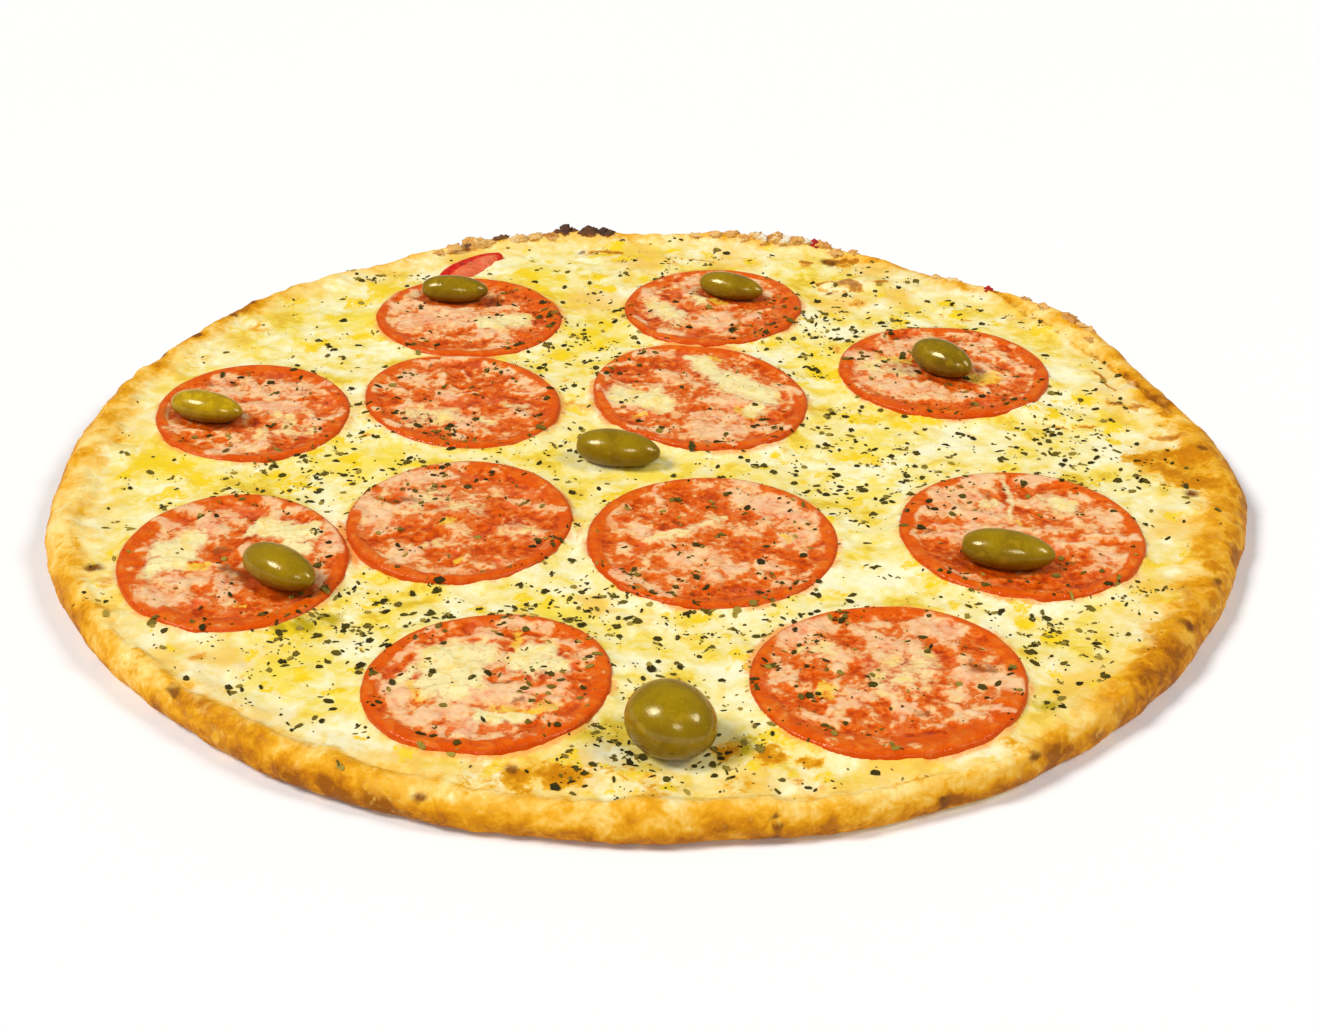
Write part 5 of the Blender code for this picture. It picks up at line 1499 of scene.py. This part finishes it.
def crumb_places():
    """The crags of the solids: direction of the cluster, place and size. The draws that aren't used
    stand for the shapes of the solids' crags, so that these places stay the same."""
    angles = round_angles(OUTLINE_POINTS)
    sections = rim_sections(angles)
    radius = raw_radius(angles)
    draw = random.Random(3)
    places = []
    for direction, spread, number in CRAG_CLUSTERS:
        for _ in range(number):
            angle = math.radians(direction + draw.uniform(-spread, spread))
            nearest = round(angle / (2 * math.pi) * OUTLINE_POINTS) % OUTLINE_POINTS
            size = draw.uniform(*CRAG_RADIUS)
            inset, height = sections[3][:, nearest] * 0.8 + sections[4][:, nearest] * 0.2
            spot = np.array([*from_centre(radius[nearest] - inset, angles[nearest]), height])
            lift = np.array([draw.uniform(-2, 2), draw.uniform(-1.5, 0.5), 0.2 * size])
            for _ in range(42):
                draw.uniform(0.8, 1.2)
            draw.uniform(0, 6)
            places.append((direction, spot + lift, size))
    return places


def crumb_forms():
    """Centre, sizes, direction, kind and redness of each crag and each crisp bit."""
    trees = top_surfaces(["baked_crust", "melted_cheese"])
    draw = random.Random(31)
    for index, (direction, spot, size) in enumerate(crumb_places()):
        low, high = CRAG_KINDS[direction]
        kind = low + (high - low) * (index * 0.382 % 1.0)
        tangent = math.degrees(math.atan2(spot[1], spot[0])) + 90
        yield spot - (0, 0, 0.35 * size), (1.25 * size, 0.9 * size, size), tangent, kind, 0.0
    for direction, length, height, kind, red in CRISP_BITS:
        angle = math.radians(direction)
        inset = 0.55 * at_angle(rim_width, angle) + draw.uniform(-1.5, 1.5)
        hit = drop(trees, *from_centre(at_angle(raw_radius, angle) - inset, angle))
        if hit:
            centre = np.array(hit[0]) / MM - (0, 0, 0.25 * height)
            sizes = (length / 2, 0.36 * length + 0.3, height)
            yield centre, sizes, direction + 90 + draw.uniform(-14, 14), kind, red


def build_crumbs():
    """Crags on the crust's crest and single crisp bits beside them."""
    bits = []
    for index, (centre, sizes, direction, kind, red) in enumerate(crumb_forms()):
        points, faces, kinds = rough_crumb(centre, sizes, direction, 400 + index, kind)
        bits.append((points, faces, {"kind": kinds, "red": red}))
    return make_heap("crisp_crumbs", bits)


# Settings

def tint_setting(name, description, *display):
    """A colour whose default is given in 0-255 display values."""
    return FloatVectorProperty(name=name, description=description, subtype="COLOR", default=colour(*display))


def length_setting(name, description, default, smallest, largest):
    """A length whose default and limits are given in millimetres."""
    return FloatProperty(name=name, description=description, default=default * MM, min=smallest * MM,
                         max=largest * MM, unit="LENGTH", precision=4)


def count_setting(name, description, default, fewest, most):
    return IntProperty(name=name, description=description, default=default, min=fewest, max=most)


def light_setting(name, description, default):
    return FloatProperty(name=name, description=description, default=default, min=0.0)


class CrustLook(bpy.types.PropertyGroup):
    """Size of the crust's detail and its colours"""
    sectors: count_setting("Sectors", "Points round the crust", 900, 132, 2000)
    relief: length_setting("Relief", "Height of the lumps and bubbles", 1.0, 0.0, 3.0)
    golden: tint_setting("Golden", "Well baked dough", 248, 198, 92)
    toasted: tint_setting("Toasted", "Browned dough down the side", 222, 148, 12)
    scorched: tint_setting("Scorched", "Dark baked spots", 104, 56, 18)


class CheeseLook(bpy.types.PropertyGroup):
    """Size of the cheese's detail and its colours"""
    grid: count_setting("Grid", "Quads across the cheese", 300, 60, 600)
    relief: length_setting("Relief", "Height of the fine unevenness", 1.0, 0.0, 3.0)
    meniscus: length_setting("Rise at slices", "How far the cheese climbs the slices' edges", 1.2, 0.0, 2.0)
    cream: tint_setting("Cream", "Pale cheese", 251, 239, 174)
    pale: tint_setting("Pale yellow", "Most of the cheese", 248, 229, 141)
    golden: tint_setting("Golden", "Oily yellow dabs", 248, 212, 36)
    toasted: tint_setting("Toasted", "Browned patches", 241, 180, 72)


class TomatoLook(bpy.types.PropertyGroup):
    """Size of the slices' detail and their colours"""
    grid: count_setting("Grid", "Quads across a slice", 104, 20, 200)
    skin: tint_setting("Skin", "Thin outer line", 206, 66, 0)
    wall: tint_setting("Wall", "Firm outer flesh", 228, 90, 4)
    flesh: tint_setting("Flesh", "Red flesh", 230, 98, 10)
    pulp: tint_setting("Pulp", "Pale pulp and juice", 247, 184, 120)
    # also the colour of the painted shade round the olives
    well: tint_setting("Wells", "Dark hollows", 182, 58, 4)


class OliveLook(bpy.types.PropertyGroup):
    """Size of the olives' detail and their colours"""
    stations: count_setting("Stations", "Rings along an olive", 44, 12, 128)
    green: tint_setting("Green", "Olive skin", 142, 114, 0)
    shade: tint_setting("Brown green", "Darker skin", 114, 86, 0)


class HerbLook(bpy.types.PropertyGroup):
    """Number, size and colours of the oregano flakes"""
    flakes: count_setting("Flakes", "Number of flakes", 5000, 100, 8000)
    smallest: length_setting("Smallest", "Length of the smallest flake", 0.5, 0.2, 3.0)
    longest: length_setting("Longest", "Length of the longest loose flake", 3.4, 1.0, 8.0)
    darkest: tint_setting("Darkest", "Darkest leaf", 50, 42, 10)
    lightest: tint_setting("Lightest", "Straw coloured leaf", 172, 148, 58)


class StageLook(bpy.types.PropertyGroup):
    """Camera, light and floor"""
    floor: tint_setting("Floor", "Floor colour", 252, 252, 252)
    width: FloatProperty(name="Floor width", description="Side of the square floor", default=40.0,
                         min=2.0, max=80.0, unit="LENGTH")
    key: light_setting("Key light", "Strength of the soft light on the left", 2.2)
    fill: light_setting("Right light", "Strength of the soft light on the right", 1.15)
    front: light_setting("Front light", "Strength of the light beside the camera", 0.6)
    sky: light_setting("Room light", "Strength of the light from all round", 0.15)
    pitch: FloatProperty(name="Pitch", description="How far the camera looks down",
                         default=math.radians(30.01), min=0.0, max=1.5, unit="ROTATION")
    roll: FloatProperty(name="Roll", description="The camera's tilt to one side",
                        default=math.radians(0.17), min=-0.5, max=0.5, unit="ROTATION")
    lens: FloatProperty(name="Lens", description="Focal length in millimetres on a 36 mm sensor",
                        default=56.82, min=10.0, max=300.0)


LOOKS = {
    "pizza_crust": CrustLook, "pizza_cheese": CheeseLook, "pizza_tomato": TomatoLook,
    "pizza_olive": OliveLook, "pizza_herb": HerbLook, "pizza_stage": StageLook,
}


# Operators

class PIZZA_OT_crust(bpy.types.Operator):
    """Bake the crust with its lumps, bubbles, crease and dark spots"""
    bl_idname = "pizza.crust"
    bl_label = "Crust"

    def execute(self, context):
        look = context.scene.pizza_crust
        finish = baked_finish("golden baked crust", look, context.scene.pizza_cheese)
        settle(build_crust(look), finish, "crust")
        return {"FINISHED"}


class PIZZA_OT_cheese(bpy.types.Operator):
    """Melt the cheese over the crust, up to the slices' edges"""
    bl_idname = "pizza.cheese"
    bl_label = "Cheese"

    def execute(self, context):
        look = context.scene.pizza_cheese
        finish = baked_finish("melted cheese", context.scene.pizza_crust, look)
        settle(build_cheese(look), finish, "cheese")
        return {"FINISHED"}


class PIZZA_OT_slices(bpy.types.Operator):
    """Lay the tomato slices in the cheese"""
    bl_idname = "pizza.slices"
    bl_label = "Tomato slices"

    def execute(self, context):
        look = context.scene.pizza_tomato
        finish = tomato_finish(look)
        for number in range(1, SLICE_COUNT + 1):
            settle(build_slice(number, look), finish, f"tomato_{number}")
        return {"FINISHED"}


class PIZZA_OT_olives(bpy.types.Operator):
    """Put the green olives on the slices and the cheese"""
    bl_idname = "pizza.olives"
    bl_label = "Olives"

    def execute(self, context):
        look = context.scene.pizza_olive
        finish = olive_finish(look)
        for number in range(1, len(OLIVES) + 1):
            settle(build_olive(number, look), finish, f"olive_{number}")
        return {"FINISHED"}


class PIZZA_OT_oregano(bpy.types.Operator):
    """Scatter dried oregano over the cheese and the slices"""
    bl_idname = "pizza.oregano"
    bl_label = "Oregano"

    def execute(self, context):
        look = context.scene.pizza_herb
        settle(build_herbs(look), herb_finish(look))
        return {"FINISHED"}


class PIZZA_OT_crumbs(bpy.types.Operator):
    """Add the crisp crumbs at the back of the crust"""
    bl_idname = "pizza.crumbs"
    bl_label = "Crumbs"

    def execute(self, context):
        settle(build_crumbs(), crumb_finish())
        return {"FINISHED"}


def add_to_scene(name, data):
    thing = bpy.data.objects.new(name, data)
    bpy.context.scene.collection.objects.link(thing)
    return thing


class PIZZA_OT_stage(bpy.types.Operator):
    """Set up the floor, the soft lights and the camera"""
    bl_idname = "pizza.stage"
    bl_label = "Stage"

    def execute(self, context):
        look = context.scene.pizza_stage
        half = look.width / 2
        mesh = bpy.data.meshes.new("studio_floor")
        mesh.from_pydata([(-half, -half, 0), (half, -half, 0), (half, half, 0), (-half, half, 0)], [],
                         [(0, 1, 2, 3)])
        mesh.materials.append(floor_finish(look))
        floor = add_to_scene("studio_floor", mesh)
        for name, direction, setting, spread, tint in LIGHTS:
            lamp = bpy.data.lights.new(name, "SUN")
            lamp.energy = getattr(look, setting)
            lamp.angle = math.radians(spread)
            lamp.color = tint
            add_to_scene(name, lamp).rotation_euler = Vector(direction).to_track_quat("Z", "Y").to_euler()
        world = context.scene.world or bpy.data.worlds.new("room")
        context.scene.world = world
        world.use_nodes = True
        backdrop = world.node_tree.nodes["Background"]
        backdrop.inputs["Color"].default_value = (1.0, 1.0, 1.0, 1.0)
        backdrop.inputs["Strength"].default_value = look.sky
        camera = bpy.data.cameras.new("photo_camera")
        camera.lens = look.lens
        camera.sensor_width = 36.0
        camera.sensor_fit = "HORIZONTAL"
        camera.clip_start = 0.01
        turn = Matrix.Rotation(math.pi / 2 - look.pitch, 4, "X") @ Matrix.Rotation(look.roll, 4, "Z")
        eye = add_to_scene("photo_camera", camera)
        eye.matrix_world = Matrix.Translation(CAMERA_PLACE) @ turn
        context.scene.camera = eye
        context.scene.view_settings.view_transform = "Standard"
        return {"FINISHED"}


OPERATORS = (
    PIZZA_OT_stage, PIZZA_OT_crust, PIZZA_OT_cheese, PIZZA_OT_slices, PIZZA_OT_olives,
    PIZZA_OT_oregano, PIZZA_OT_crumbs,
)


class PIZZA_PT_parts(bpy.types.Panel):
    """The pizza's pieces and their settings"""
    bl_label = "Cheese pizza"
    bl_idname = "PIZZA_PT_parts"
    bl_space_type = "VIEW_3D"
    bl_region_type = "UI"
    bl_category = "Pizza"

    def draw(self, context):
        for operator in OPERATORS:
            self.layout.operator(operator.bl_idname)
        for name, look in LOOKS.items():
            box = self.layout.box()
            box.label(text=look.__doc__)
            for setting in look.__annotations__:
                box.prop(getattr(context.scene, name), setting)


def register():
    for kind in (*LOOKS.values(), *OPERATORS, PIZZA_PT_parts):
        bpy.utils.register_class(kind)
    for name, look in LOOKS.items():
        setattr(bpy.types.Scene, name, PointerProperty(type=look))


def unregister():
    for name in LOOKS:
        delattr(bpy.types.Scene, name)
    for kind in reversed((*LOOKS.values(), *OPERATORS, PIZZA_PT_parts)):
        bpy.utils.unregister_class(kind)


def main():
    register()
    bpy.ops.pizza.stage()
    bpy.ops.pizza.crust()
    bpy.ops.pizza.cheese()
    bpy.ops.pizza.slices()
    bpy.ops.pizza.olives()
    bpy.ops.pizza.oregano()
    bpy.ops.pizza.crumbs()


if __name__ == "__main__":
    main()
